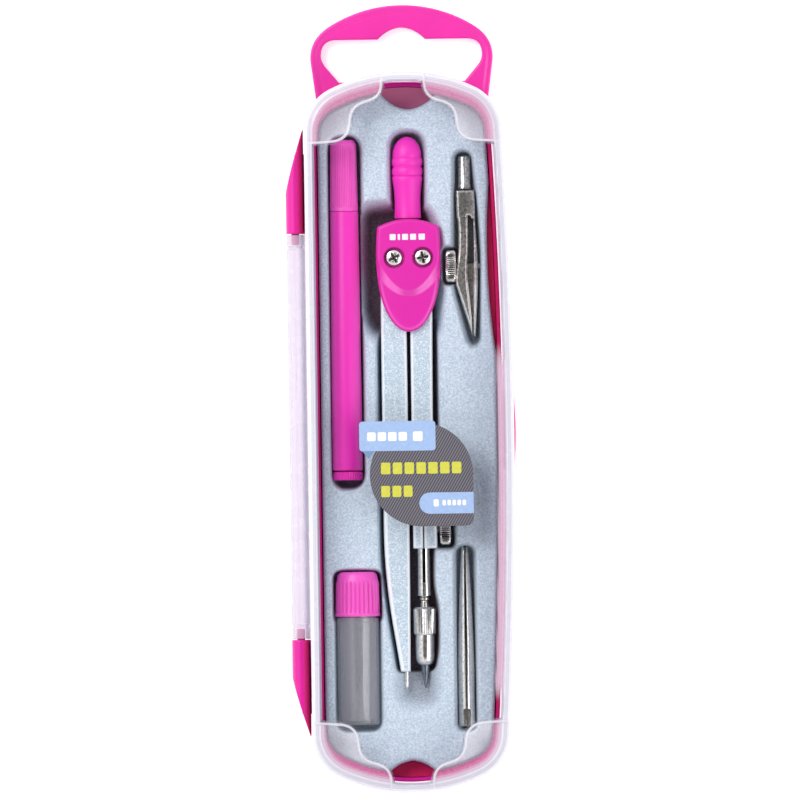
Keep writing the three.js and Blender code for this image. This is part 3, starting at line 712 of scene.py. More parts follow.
def tray_ledge():
    """The base's ledge under the edge of the tray, seen in the gaps round the tray."""
    inside = polygon_distance(case_outline(grown(BASE_INSET, 1.15)))
    tray = tray_field(0.12)
    ends = (LID_LOW[1] + 12, LID_HIGH[1] - 12)

    def height(x, y, d):
        scallop = smooth((np.abs(y - LID_Y) - (ends[1] - ends[0]) / 2) / 2)
        return 8.6 - 2.0 * scallop

    bounds = ((LID_LEFT, LID_RIGHT), (LID_LOW[1], LID_HIGH[1]))
    piece = relief("tray_ledge", lambda x, y: np.maximum(inside(x, y), -tray(x, y)), height, 2.0, bounds, 0.3,
                   body="case", finish=MAGENTA_IN_SHADE)
    # Painted light: the ledge at the top scallop painted paler.
    paint(piece, "painted_light", lambda x, y, z: 1.0 * smooth((y - 60) / 4) * smooth((9 - np.abs(x - 2.4)) / 2))


def loop_outline(inset=0.0):
    crown = 34.0 - inset
    crown_y = BASE_HIGH[1] - 34.0
    shoulder = 18.2 - inset / 2
    shoulder_y = crown_y + math.sqrt(crown ** 2 - shoulder ** 2)
    angle = math.atan2(shoulder_y - crown_y, shoulder)
    foot, waist = (20.9 - inset, 70.0), (22.8 - inset, 84.8)
    control = (23.0 - inset, 90.0 - inset / 2)
    right = [foot, waist] + bend(waist, control, (shoulder, shoulder_y), 14)
    top = arc(0, crown_y, crown, angle, math.pi - angle, 40)
    left = [(-x, y) for x, y in right[::-1]]
    return [(LOOP_X + x, y) for x, y in right + top + left]


def loop_opening():
    flat = 89.8
    half = [(15.7, 79.2), (18.9, 83.0)] + bend((18.9, 83.0), (20.1, 84.4), (20.1, 85.9), 8)
    half += bend((20.1, 85.9), (20.1, flat), (16.2, flat), 14) + [(5.9, flat)]
    hump = bend((5.9, flat), (0, 95.6), (-5.9, flat), 20)
    left = [(-x, y) for x, y in half[::-1]][1:]
    return [(LOOP_X + x, y) for x, y in half + hump + left]


def hang_loop():
    outer, opening = polygon_distance(loop_outline()), polygon_distance(loop_opening())

    def height(x, y, d):
        edge = outer(x, y)
        rim = smooth((edge + 1.6) / 0.5)
        groove = 0.04 * np.exp(-((edge + 1.85) / 0.25) ** 2)
        return 2.8 + 0.2 * rim - groove - rounding(d, 0.45)

    bounds = ((-23, 25), (70, BASE_HIGH[1] + 1))
    piece = relief("hang_loop", outside_of(outer, opening), height, 0.0, bounds, 0.22, **BASE_LOOK)
    # Painted light: the whole loop painted a little paler.
    paint(piece, "painted_light", lambda x, y, z: 0.12)


def ear_outline(near, far):
    left, right = HINGE_X - HINGE_R, HINGE_X + HINGE_R
    turn = near + (far - near) * 0.38
    tail = bend((left, turn), (left + 1.1, near + (far - near) * 0.6), (right, far), 20)
    return [(left, near), (left, turn)] + tail + [(right, near)]


def hinge_ear(name, near, far):
    """A D-shaped ear: rounded over the hinge axis, running out at its far end."""
    def height(x, y, d):
        across = np.clip((x - HINGE_X) / HINGE_R, -1, 1)
        return HINGE_Z + HINGE_R * np.sqrt(np.maximum(1 - across ** 2, 0)) - rounding(d, 0.3) * 0.6

    low, high = sorted((near, far))
    bounds = ((HINGE_X - HINGE_R - 0.5, HINGE_X + HINGE_R + 0.5), (low - 0.5, high + 0.5))
    piece = relief(name, polygon_distance(ear_outline(near, far)), height, 4.5, bounds, 0.22, **BASE_LOOK)
    # Painted shade: the ear darker on its side toward the lid.
    paint(piece, "painted_shade", lambda x, y, z: 0.85 * smooth((x - HINGE_X - 0.1) / 1.2))
    arm_end = near + (far - near) * 0.75
    inner = LID_LEFT + BASE_INSET[0] + 0.3
    box_piece(name + "_arm", (HINGE_X, inner), sorted((near, arm_end)), (4.5, 8.5), **BASE_LOOK)
    toward = -math.copysign(1, far - near)
    pin = [(0.9, near - toward * 0.5), (1.0, near), (1.0, near + toward * 2.6), (0.8, near + toward * 2.8)]
    turned(name + "_pin", pin, HINGE_X, HINGE_Z, 32, **BASE_LOOK)


def latch_parts():
    low, high = LATCH
    middle, half = (low + high) / 2, 9.6
    shoulder = LATCH_X[1] + 0.1
    tip = BASE_HIGH[0]
    lens = bend((shoulder, middle - half), (2 * tip - shoulder, middle), (shoulder, middle + half), 24)
    outline = [(24.6, middle - half), (shoulder, middle - half)] + lens + [(24.6, middle + half)]
    bounds = ((24, 29), (middle - half - 1, middle + half + 1))
    relief("finger_lip", polygon_distance(outline), lambda x, y, d: 4.2 - rounding(d, 0.5), 1.5, bounds, 0.18,
           **BASE_LOOK)
    box_piece("catch_rib", (24.6, 26.15), (low + 2.5, high - 2.5), (6.4, 7.6), 0.3, **BASE_LOOK)
    for name, x, y in (("top_rib", (0.3, 1.9), (73.6, 78.2)), ("bottom_rib", (0.5, 2.1), (-94.9, -91.6))):
        box_piece(name, x, y, (1.5, 6.0), 0.3, **BASE_LOOK)


# ---------------- lid


def step_line(sign_x, sign_y):
    """The S-shaped line between the lid's centre panel and one corner panel."""
    corners = [(5.0, 91.0), (5.6, 83.7, 3), (13.0, 81.4, 3.2), (13.8, 73.0, 4.2), (26.5, 72.1)]
    path = filleted(corners, closed=False, steps=10)
    return [(LID_X + sign_x * x, LID_Y + sign_y * y) for x, y in path]


CORNERS = ((1, 1), (-1, 1), (1, -1), (-1, -1))


def corner_panel(sign_x, sign_y):
    far = [(LID_X + sign_x * 40, LID_Y + sign_y * 72.1), (LID_X + sign_x * 40, LID_Y + sign_y * 110),
           (LID_X + sign_x * 5, LID_Y + sign_y * 110)]
    return step_line(sign_x, sign_y) + far


def lid_shell():
    outline = polygon_distance(case_outline((0, 0, 0)))
    corners = either(*[polygon_distance(corner_panel(*signs)) for signs in CORNERS])
    edge_radius = 3.0

    def height(x, y, d):
        drop = 0.4 * smooth(0.5 - corners(x, y) / 0.5)
        return LID_TOP - drop - rounding(d, edge_radius)

    bounds = ((LID_LEFT - 1, LID_RIGHT + 1), (LID_LOW[1] - 1, LID_HIGH[1] + 1))
    piece = relief("lid_shell", outline, height, LID_SKIRT, bounds, 0.4, closed=False, sharp=60,
                   replaces=("lid",), **LID_LOOK)
    tray = polygon_distance(case_outline(TRAY_INSET))

    def in_panel(x, y):
        return smooth(0.5 - corners(x, y) / 0.6)

    def pale_strip(x, y):
        """1 where the skirt on the latch side shows as a pale strip beside the tray."""
        d = -outline(x, y)
        return smooth((x - 10) / 5) * smooth((14 - y) / 8) * smooth((4.2 - d) / 0.3) * smooth((y + 76) / 6)

    def frost(x, y, z):
        d, panel = -outline(x, y), in_panel(x, y)
        side = 0.9 * smooth((2.0 - d) / 0.35 + 0.5)
        corner = 0.84 - 0.14 * smooth((d - 1.6) / 1.8)
        corner = 0.07 + (corner - 0.07) * smooth(0.5 + tray(x, y) / 0.9)
        return panel * corner + (1 - panel) * np.maximum(side, 0.66 * pale_strip(x, y))

    # Painted magenta tint in the corner panels and the pale strip, standing for the base seen through the
    # frost.
    def painted_show_through(x, y, z):
        d = -outline(x, y)
        strength, start = np.where(y < LID_Y, 1.0, 0.72), np.where(y < LID_Y, 1.7, 0.9)
        corner = in_panel(x, y) * strength * smooth((d - start) / 3) * smooth(0.6 + tray(x, y) / 0.8)
        return np.maximum(corner, 0.4 * pale_strip(x, y) * smooth((d - 1.9) / 0.4))

    paint(piece, "frost", frost)
    paint(piece, "painted_show_through", painted_show_through)
    paint(piece, "depth", lambda x, y, z: -outline(x, y))
    shell = piece.modifiers.new("wall", "SOLIDIFY")
    shell.thickness = LID_WALL * MM
    shell.offset = -1
    return piece


def lid_step_beads():
    for number, signs in enumerate(CORNERS):
        line = step_line(*signs)
        near = path_distance(line)
        outline = polygon_distance(case_outline((0.4, 0.4, 0.4)))
        field = lambda x, y: np.maximum(near(x, y) - 0.33, outline(x, y))
        inside = polygon_distance(case_outline((0, 0, 0)))

        def height(x, y, d):
            bead = 0.32 * np.sqrt(np.maximum(1 - (near(x, y) / 0.34) ** 2, 0))
            return LID_TOP - 0.3 + bead - rounding(np.minimum(inside(x, y), 0), 3.0)

        relief(f"lid_step_bead_{number + 1}", field, height, LID_TOP - 3.6, around(line, 0.6), 0.13,
               body="lid", finish=LINE_WHITE)


def hinge_barrel():
    look = {"body": "lid", "finish": BARREL_CLEAR}
    low, high = BARREL
    r = HINGE_R
    end = [(1.35, 0), (r - 0.25, 0), (r - 0.05, 0.2), (r - 0.05, 2.8), (r - 0.35, 3.0), (r - 0.35, 3.4),
           (r, 3.6)]
    profile = [(radius, low + y) for radius, y in end] + [(radius, high - y) for radius, y in end[::-1]]
    turned("hinge_barrel", profile, HINGE_X, HINGE_Z, 80, ribs(10, 0.16, low + 3.5, high - 3.5, 3), **look)
    web = (HINGE_X + 1.2, LID_LEFT + 0.3)
    box_piece("hinge_web", web, (low, high), (HINGE_Z - 1.3, HINGE_Z + 1.3), 0.3, **look)


def lid_latch():
    low, high = LATCH
    look = {"body": "lid", "finish": BARREL_CLEAR}
    for name, y in (("low", (low, low + 2.2)), ("high", (high - 2.2, high))):
        box_piece(f"latch_tab_{name}", LATCH_X, y, (5.0, 9.2), 0.25, **look)
    box_piece("latch_tab_bar", LATCH_X, (low + 2.0, high - 2.0), (5.0, 6.0), 0.25, **look)


# ---------------- label


def label_layer(name, outline, level, finish, step=0.2):
    field = polygon_distance(outline)
    top = LID_TOP + 0.02 + 0.024 * level
    replaced = ("lid_label",) if level == 1 else ()
    relief(name, field, lambda x, y, d: top - rounding(d, 0.01), LID_TOP, around(outline, 0.5), step,
           body="lid", finish=finish, replaces=replaced)


def label():
    """A banner over a round field with one squared corner, printed with plain blocks."""
    low, high = span("lid_label")
    left, right, foot, head = low[0], high[0], low[1], high[1]
    radius = 12.9
    cx, cy = right - radius, foot + radius
    field = arc(cx, cy, radius, 0, 1.5 * math.pi, 80) + filleted(
        [(cx, foot), (right, foot, 2), (right, cy)], closed=False)[1:-1]
    label_layer("label_field", field, 1, LABEL_DARK)
    fold = [(left + 0.6, head - 7.2), (left + 4, head - 7.2), (left + 2.2, head - 9.2)]
    label_layer("label_fold", fold, 1.2, LABEL_FOLD)
    label_layer("label_banner", rectangle((left, left + 19), (head - 7.4, head), 0.9), 2, LABEL_BLUE)
    pill = [(right, foot + 3.1), (right, foot + 8.4)]
    pill += arc(right - 10.9, foot + 5.75, 2.65, math.pi / 2, 1.5 * math.pi, 20)
    label_layer("label_pill", pill, 2, LABEL_BLUE)
    rows = [
        ("banner", left + 2.0, 4, 2.1, 0.5, (head - 4.9, head - 2.7), LABEL_WHITE),
        ("banner_square", left + 13.4, 1, 2.4, 0, (head - 5.0, head - 2.6), LABEL_WHITE),
        ("long", left + 5.3, 7, 2.35, 0.6, (head - 13.2, head - 10.3), LABEL_YELLOW),
        ("short", left + 5.3, 3, 2.2, 0.6, (head - 18.9, head - 16.1), LABEL_YELLOW),
        ("pill_square", right - 10.0, 1, 1.3, 0, (foot + 4.9, foot + 6.7), LABEL_WHITE),
        ("pill", right - 7.8, 5, 0.9, 0.35, (foot + 5.1, foot + 6.5), LABEL_WHITE),
    ]
    for name, start, count, width, gap, y, finish in rows:
        for number in range(count):
            x = start + number * (width + gap)
            label_layer(f"label_{name}_{number + 1}", rectangle((x, x + width), y, 0.4), 3.4, finish, 0.15)


# ---------------- insert tray


# Each pocket: plan outline, floor, width of its soft lip, width of its slope inside, and strength of its
# painted shade.
POCKETS = (
    (rectangle((-17.7, -9.5), (-22.4, 65.8), 4), 4.3, 0.7, 0.6, 0.45),
    (rectangle((-1.9, 6.1), (44, 66.4), 3.9), 4.3, 1.3, 0.9, 0.7),
    (filleted([(-10, 20.5, 3), (-7.0, 15, 3), (9.0, 15, 3), (10.0, 28, 3), (9.2, 42, 4),
               (6, 48.5, 3), (-10, 48.0, 4)]), 2.8, 2.2, 2.6, 1.0),
    (filleted([(-5.9, 20), (-5.9, -44, 8), (-2.1, -68.4, 1.2), (7.2, -68.4, 2), (8.3, -63, 3),
               (8.3, -52, 2), (7.2, -47, 3), (7.4, -36, 3), (8.8, -36), (8.8, 20)]), 4.9, 0.7, 0.5, 1.0),
    (rectangle((-1.2, 7.4), (-76.5, -64), 3), 7.2, 2.6, 2.6, 0.5),
    (rectangle((8, 12.5), (-37.3, -28.1), 1.2), 4.2, 0.9, 0.5, 0.6),
    (filleted([(14.0, 61.4, 2), (18.0, 61.4, 2), (18.9, 52, 3), (19.5, 46, 4), (20.0, 36, 4), (19.8, 24, 4),
               (19.6, 13, 2), (17.0, 13, 2), (13.2, 28, 3), (13.6, 45, 3)]), 5.4, 0.9, 0.6, 0.5),
    (rectangle((10.6, 15), (28.4, 37.4), 1.2), 4.2, 0.9, 0.5, 0.7),
    (rectangle((-17.7, -5.9), (-56, -42.9), 2.0), 2.75, 0.7, 0.5, 0.5),
    (rectangle((-17.2, -6.4), (-82.6, -50), 2.6), 3.2, 0.8, 0.4, 0.1),
    (rectangle((12.9, 17.4), (-83.0, -37.0), 2.2), 5.9, 0.9, 0.4, 0.5),
)


def insert_tray():
    outline = tray_field()
    pockets = [(polygon_distance(shape), *rest) for shape, *rest in POCKETS]

    def sunk(field, lip, slope, x, y):
        return smooth((lip - field(x, y)) / (lip + slope + 0.3))

    def height(x, y, d):
        z = TRAY_TOP - rounding(d, 1.1)
        for field, floor, lip, slope, _ in pockets:
            z = np.minimum(z, TRAY_TOP - (TRAY_TOP - floor) * sunk(field, lip, slope, x, y))
        return z

    # Painted shade: darker down in the pockets and low at the tray's rounded edge.
    def shade_at(x, y, z):
        most = 0.9 * smooth((TRAY_TOP - 1.2 - z) / 3)
        hollow = most * 0
        for field, _, lip, slope, dark in pockets:
            edge = lip * 0.55
            hollow = np.maximum(hollow, dark * smooth((edge - field(x - 0.35, y)) / (edge + slope)))
        return np.maximum(hollow, np.where(outline(x, y) > -0.25, most, 0))

    low, high = span("insert_tray")
    piece = relief("formed_tray", outline, height, low[2], around((low, high), 1), 0.32, False, sharp=75,
                   body="case", finish=FLOCK, replaces=("insert_tray",))
    paint(piece, "painted_shade", shade_at)
    corners = either(*[polygon_distance(corner_panel(*signs)) for signs in CORNERS])
    # Painted light: the tray paler under the lid's corner panels.
    paint(piece, "painted_light", lambda x, y, z: 0.9 * smooth(0.5 - corners(x, y))
          * smooth((z - TRAY_TOP + 1.5) / 0.8))


# ---------------- compass


def compass_grip():
    low, high = span("compass_grip")
    top = high[1]
    dome = [(3.62 * math.cos(a), top - 4.8 + 4.8 * math.sin(a)) for a in np.linspace(math.pi / 2, 0, 14)]

    def bead(y):
        angles = np.linspace(0.1, math.pi - 0.1, 10)
        return [(3.5 + 0.38 * math.sin(a), y + 1.1 * math.cos(a)) for a in angles]

    neck = bend((3.85, top - 10.3), (2.9, top - 15), (3.35, top - 20.3), 10)
    profile = dome + bead(top - 6.3) + bead(top - 8.7) + [(3.7, top - 9.95), (3.85, top - 10.3)] + neck
    profile += [(2.1, top - 20.8), (2.1, low[1])]
    turned("grip", profile[::-1], COMPASS_X, sides=96, sharp=50, finish=TUBE_PINK,
           replaces=("compass_grip",), **COMPASS)


PIVOT_Y = centre("pivot_screw_left")[1]
PIVOT_X = (centre("pivot_screw_left")[0], centre("pivot_screw_right")[0])


def head_outline(inset=0.0):
    half = 8.2 - inset
    x = COMPASS_X
    left_top, left_low = (x - half + 0.5, 42.9 - inset), (x - 3.4, 18.2 + inset)
    right_top, right_low = (x + half - 0.5, 42.9 - inset), (x + 3.4, 18.2 + inset)
    points = [left_top]
    points += cubic(left_top, (x - half - 0.5, 33), (x - half + 0.3, 23 + inset), left_low)
    points += bend(left_low, (x, 15.1 + inset), right_low, 10)
    points += cubic(right_low, (x + half - 0.3, 23 + inset), (x + half + 0.5, 33), right_top)
    points += bend(right_top, (x, 46.9 - inset), left_top, 16)[:-1]
    return points


def head_cover(name, node, front):
    low, high = span(node)
    outline = polygon_distance(head_outline())
    recesses = [circle_distance(x, PIVOT_Y, 2.45) for x in PIVOT_X]
    thickness = high[2] - low[2]

    def slope_share(x, y):
        """0 above the crescent where the cover steps down to its tip, 1 below it."""
        across = (x - COMPASS_X) ** 2
        upper, lower = 27.2 + 0.135 * across, 25.3 + 0.08 * across
        return (upper - y) / (upper - lower)

    def height(x, y, d):
        across = x - COMPASS_X
        step = 0.8 * smooth(slope_share(x, y)) if front else 0
        z = thickness - rounding(d, 0.9) - step - 0.006 * across ** 2
        for recess in recesses:
            z = z - 1.0 * smooth(0.5 - recess(x, y) / 0.12)
        return z

    block = relief_mesh(outline, height, thickness - 2.1, around((low, high), 0.5), 0.14)
    vertices, faces = drop_unused(*block)
    vertices[:, 2] = low[2] + vertices[:, 2] if front else high[2] - vertices[:, 2]
    piece = mesh_piece(name, vertices, faces, finish=PINK, replaces=(node,), **COMPASS)
    if front:
        # Painted highlight along the crescent where the cover steps down, and along the rim near its tip.
        def painted_light(x, y, z):
            down, aside = slope_share(x, y), np.abs(x - COMPASS_X)
            crescent_highlight = smooth(down / 0.25) * smooth((1 - down) / 0.25) * (0.2 + 0.8 * smooth((aside - 0.7) / 2.5))
            tip = smooth((33 - y) / 8) * np.exp(-((outline(x, y) + 0.75) / 0.3) ** 2)
            return 0.95 * crescent_highlight * smooth((7.4 - aside) / 2) + 0.45 * tip * (z > low[2] + thickness - 2)

        paint(piece, "painted_light", painted_light)
        # Painted shade in a ring round each screw recess.
        paint(piece, "painted_shade", lambda x, y, z: 0.85 * smooth(0.8 - np.minimum.reduce(
            [np.abs(recess(x, y)) for recess in recesses]) / 0.55))
        head_print(high[2])


def head_print(level):
    """A row of plain printed blocks across the head."""
    look = {"finish": LABEL_WHITE}
    for number, width in enumerate((1.5, 0.6, 1.5, 1.5, 1.6)):
        x = COMPASS_X - 4.6 + (0, 2.0, 3.1, 5.1, 7.2)[number]
        field = polygon_distance(rectangle((x, x + width), (39.6, 41.1), 0.2))
        bounds = ((x - 0.3, x + width + 0.3), (39.3, 41.4))
        top = lambda px, py, d: level - 0.006 * (px - COMPASS_X) ** 2 + 0.03
        relief(f"head_print_{number + 1}", field, top, level - 0.4, bounds, 0.12, **look, **COMPASS)


def head_walls():
    """The covers' side walls, above the opening for the legs."""
    outer, inner = polygon_distance(head_outline(0.15)), polygon_distance(head_outline(1.3))
    low, high = span("compass_head_back")[0], span("compass_head_front")[1]
    seam = (span("compass_head_back")[1][2], span("compass_head_front")[0][2])

    def field(x, y):
        neck = 2.9 - np.hypot(x - COMPASS_X, np.minimum(y - 40, 0))
        return np.maximum.reduce([outer(x, y), -inner(x, y), 30 - y, neck])

    bounds = ((low[0] - 0.5, high[0] + 0.5), (29, high[1] + 0.5))
    for name, floor, top in (("back", low[2] + 1, seam[0]), ("front", seam[1], high[2] - 1)):
        relief(f"head_wall_{name}", field, lambda x, y, d: top, floor, bounds, 0.2,
               finish=PINK, **COMPASS)


def pivot_screw(hand, x):
    node = f"pivot_screw_{hand}"
    crown = span(node)[1][2]
    turn = 0.5 if hand == "left" else 0.2

    def dome(px, py):
        return crown - 0.10 * ((px - x) ** 2 + (py - PIVOT_Y) ** 2)

    def bar(u, v):
        return np.maximum(np.abs(u) - 1.35, np.abs(v) - 0.26)

    def height(px, py, d):
        dx, dy = px - x, py - PIVOT_Y
        u = dx * math.cos(turn) + dy * math.sin(turn)
        v = dy * math.cos(turn) - dx * math.sin(turn)
        cross = np.minimum(bar(u, v), bar(v, u))
        recess = 0.45 * smooth(0.5 - cross / 0.25) + 0.15 * smooth(1 - np.hypot(u, v) / 0.9)
        return dome(px, py) - rounding(d, 0.3) - recess

    # Painted shade down in the cross recess.
    def painted_shade(px, py, z):
        inside = smooth((1.6 - np.hypot(px - x, py - PIVOT_Y)) / 0.2)
        return 0.9 * smooth((dome(px, py) - 0.08 - z) / 0.25) * inside

    bounds = ((x - 2.6, x + 2.6), (PIVOT_Y - 2.6, PIVOT_Y + 2.6))
    piece = relief(f"pivot_screw_head_{hand}", circle_distance(x, PIVOT_Y, 2.1), height, crown - 0.95, bounds,
                   0.07, finish=BRIGHT, replaces=(node,), **COMPASS)
    paint(piece, "painted_shade", painted_shade)


def leg(name, node, corners, holes=()):
    low, high = span(node)
    field = polygon_distance(filleted(corners, steps=10))
    if holes:
        field = outside_of(field, *[polygon_distance(hole) for hole in holes])
    bounds = ((low[0] - 0.5, high[0] + 0.5), (low[1] - 0.5, 38))
    piece = relief(name, field, lambda x, y, d: high[2] - rounding(d, 0.75), low[2], bounds, 0.2,
                   finish=SILVER, replaces=(node,), **COMPASS)

    # Painted highlight along the leg's top bevel, wider low on the needle leg's outer side.
    def painted_light(x, y, z):
        bevel = 0.75 + 0.35 * smooth((-10 - y) / 20) * (x < 0)
        return 0.85 * smooth((field(x, y) + bevel) / 0.3) * (z > high[2] - 0.7)

    paint(piece, "painted_light", painted_light)


def legs():
    leg("needle_leg", "left_leg", [
        (-3.6, 36, 1), (-4.8, 29.5, 1), (-5, 24, 3), (-5, -44, 12), (-1.2, -68.2), (1.2, -68.2),
        (1.4, -44, 6), (1.4, 36, 1)])
    slit = rectangle((HOLDER_X - 0.13, HOLDER_X + 0.13), (-40, -22), 0.05)
    leg("lead_leg", "right_leg", [
        (2.3, 36, 1), (2.3, -37.5, 0.2), (8.3, -37.5, 0.5), (8.3, -26, 4), (7.6, -8, 8), (7.9, 24, 4),
        (8, 29.5, 1), (7.6, 36, 1)], holes=(slit,))


def points_and_leads():
    x = centre("needle_point")[0]
    low, high = span("needle_point")
    turned("needle", [(0.02, low[1]), (0.3, low[1] + 0.3), (0.6, low[1] + 0.9), (0.6, high[1])], x, sides=32,
           finish=("steel", BRIGHT[1]), replaces=("needle_point",), **COMPASS)
    low, high = span("graphite_lead")
    tip = [(0.12, low[1]), (0.3, low[1] + 0.6), (1.05, low[1] + 4.8), (1.05, high[1])]
    turned("lead", tip, HOLDER_X, sides=40, finish=GRAPHITE, replaces=("graphite_lead",),
           **COMPASS)


def lead_holder():
    tube = [(1.6, span("lead_holder_stem")[1][1]), (1.6, -44), (1.64, -47.5), (1.72, -49.0), (1.66, -49.3)]
    stem = rolled("holder_tube", tube, HOLDER_X, lambda y: 0.8, 0.4, finish=BRIGHT,
                  replaces=("lead_holder_stem",), **COMPASS)
    # Painted shade on the inside of the rolled tube.
    paint(stem, "painted_shade", lambda x, y, z: 0.9 * (np.hypot(x - HOLDER_X, z - BED) < 1.35))
    neck = [(0.9, -46), (1.0, -49.6), (1.25, -49.8), (1.25, -50.3), (0.95, -50.6), (1.05, -51.6), (1.0, -54)]
    turned("holder_neck", neck[::-1], HOLDER_X, sides=40, finish=NICKEL, **COMPASS)
    low, high = span("lead_chuck_nut")
    foot, top = low[1], high[1]
    knurl = [(1.3, top), (2.3, top), (2.82, top - 0.5), (2.82, top - 6.4), (2.55, top - 6.9),
             (2.4, top - 7.0)]
    sleeve = [(2.4, top - 7.2), (2.45, top - 8), (2.4, foot + 2.2), (2.25, foot + 1.1), (1.8, foot + 0.3),
              (1.35, foot)]
    knurled = (top - 6.6, top - 0.4)
    piece = turned("chuck_nut", (knurl + sleeve)[::-1], HOLDER_X, sides=192,
                   ripple=ribs(32, 0.15, *knurled, 1), sharp=35, body="chuck_nut", finish=BRIGHT,
                   replaces=("lead_chuck_nut",))
    # Painted shade in the knurl's grooves.
    paint(piece, "painted_shade", in_grooves(32, 0.3, HOLDER_X, *knurled))


def knurled_screw(name, node, head_low, head_high, body):
    """A knurled disc on a shank, along X. The knurl is cut with straight notches."""
    low, high = span(node)
    y = (low[1] + high[1]) / 2
    r = 4.0
    disc = [(0.4, head_low), (r - 0.9, head_low), (r - 0.35, head_low + 0.15), (r, head_low + 0.55),
            (r, head_high - 0.55), (r - 0.35, head_high - 0.15), (r - 0.9, head_high), (0.4, head_high)]
    knurled = (head_low + 0.2, head_high - 0.2)
    head = turned(name + "_head", disc, y, sides=264, ripple=ribs(44, 0.35, *knurled, 1), along="x", sharp=35,
                  body=body, finish=BRIGHT, replaces=(node,))
    # Painted shade in the knurl's grooves.
    knurl = in_grooves(44, 0.8, y, *knurled)
    paint(head, "painted_shade", lambda px, py, pz: knurl(py, px, pz))
    shank_r = 0.85
    start, end = (low[0], head_low + 0.2) if head_low - low[0] > 0.5 else (head_high - 0.2, high[0])
    profile = [(0.6, start), (shank_r, start + 0.2), (shank_r, end - 0.2), (0.6, end)]
    thread = lambda angle, place: 0.08 * math.sin(2 * math.pi * place / 0.5 + angle)
    steps = [(shank_r, p) for p in np.arange(start + 0.2, end - 0.2, 0.1)]
    turned(name + "_shank", [profile[0]] + steps + [profile[3]], y, sides=28, ripple=thread, along="x",
           body=body, finish=NICKEL)


# ---------------- ruling pen


def blade_piece(name, corners, replaces=()):
    field = polygon_distance(filleted(corners, steps=8))
    piece = relief(name, field, lambda x, y, d: BED + 2.2 - rounding(d, 0.75), BED - 2, around(corners, 0.5),
                   0.12, replaces=replaces, **PEN)
    # Painted highlight on the lower blades' top bevel.
    paint(piece, "painted_light", lambda x, y, z: 0.8 * smooth((field(x, y) + 0.7) / 0.3) * smooth((30 - y) / 2)
          * (z > BED + 1.4))


def ruling_pen():
    low, high = span("ruling_pen_body")
    x = low[0] + 2.05
    shank = [(1.1, high[1]), (1.45, high[1] - 0.3), (1.5, high[1] - 0.8), (1.5, 53.4), (1.62, 53.2),
             (1.62, 52.2)]
    turned("pen_shank", shank[::-1], x, sides=56, replaces=("ruling_pen_body",), **PEN)
    blade_piece("pen_ferrule", [(14.1, 51.9, 0.5), (18.8, 51.9, 0.5), (19.0, 46.5, 2), (18.9, 44.6, 0.3),
                                (17.8, 44.6, 0.2), (17.7, 45.4, 0.5), (17.0, 45.4, 0.5), (16.8, 44.6, 0.2),
                                (14.3, 44.6, 0.3), (14.2, 47, 2)])
    blade_piece("pen_blade", [
        (14.4, 45.9), (14.75, 40.5, 3), (14.4, 35.2, 1), (13.6, 29.1, 1), (17.9, 15.2, 0.3), (17.8, 19.9),
        (16.9, 29.1, 2), (16.8, 33, 2), (17.2, 37, 2), (17.2, 45.6)], ("ruling_pen_fixed_blade",))
    blade_piece("pen_spring_blade", [
        (18.35, 45.6), (18.25, 34, 3), (18.3, 29, 2), (18.1, 15.6, 0.1), (18.6, 15.1, 0.2), (19.1, 21.8, 4),
        (19.4, 29, 4), (19.5, 34, 4), (19.1, 40.5, 4), (18.8, 45.9)], ("ruling_pen_spring_blade",))
    inner = polygon_distance([(16.0, 33.5), (18.5, 33.5), (18.6, 26), (18.25, 16), (17.6, 18), (15.8, 27)])
    piece = relief("pen_inner_face", inner, lambda x, y, d: BED + 0.9, BED - 1.6, ((15, 19.5), (15, 34)),
                   0.15, **PEN)
    # Painted shade: the face between the blades darkened all over.
    paint(piece, "painted_shade", lambda x, y, z: 0.35)


# ---------------- loose pieces


def handle_tube():
    look = {"finish": TUBE_PINK}
    low, high = span("handle_tube_cap")
    foot, top = low[1], high[1]
    cap = [(3.3, foot), (3.5, foot + 0.05), (3.5, foot + 0.7)]
    cap += [(3.5 - 0.25 * t, foot + 0.7 + (top - foot - 1.9) * t) for t in np.linspace(0.02, 1, 24)]
    cap += [(3.05, top - 0.7), (2.7, top - 0.2), (2.2, top)]
    ribbed = (foot + 0.9, top - 1.3)
    piece = turned("tube_cap", cap, HANDLE_X, sides=264, ripple=ribs(44, 0.16, *ribbed, 1), sharp=30,
                   body="handle_cap", replaces=("handle_tube_cap",), finish=CAP_PINK)
    # Painted shade in the cap's grooves.
    paint(piece, "painted_shade", in_grooves(44, 0.14, HANDLE_X, *ribbed))
    low, high = span("handle_tube_barrel")
    foot = low[1]
    barrel = [(3.4, foot), (3.75, foot + 0.2), (3.8, foot + 2), (3.8, 0), (3.5, 46.8), (3.45, 46.9),
              (2.7, 46.9), (2.6, high[1])]
    piece = turned("tube_barrel", barrel, HANDLE_X, sides=96, body="handle_tube",
                   replaces=("handle_tube_barrel",), **look)
    # Painted light: the barrel's sides painted paler.
    paint(piece, "painted_light", lambda x, y, z: 0.4 * smooth((np.abs(x - HANDLE_X) - 1.4) / 1.8))
    low, high = span("handle_tube_end_plug")
    foot = low[1]
    plug = [(3.2, foot), (3.55, foot + 0.15), (3.7, foot + 0.6), (3.72, -18.3), (3.5, -18.1), (1.6, -18.0),
            (1.6, high[1])]
    turned("tube_plug", plug, HANDLE_X, sides=240, ripple=ribs(36, 0.16, foot + 0.1, -18.2, 2), sharp=30,
           body="handle_tube", replaces=("handle_tube_end_plug",), **look)


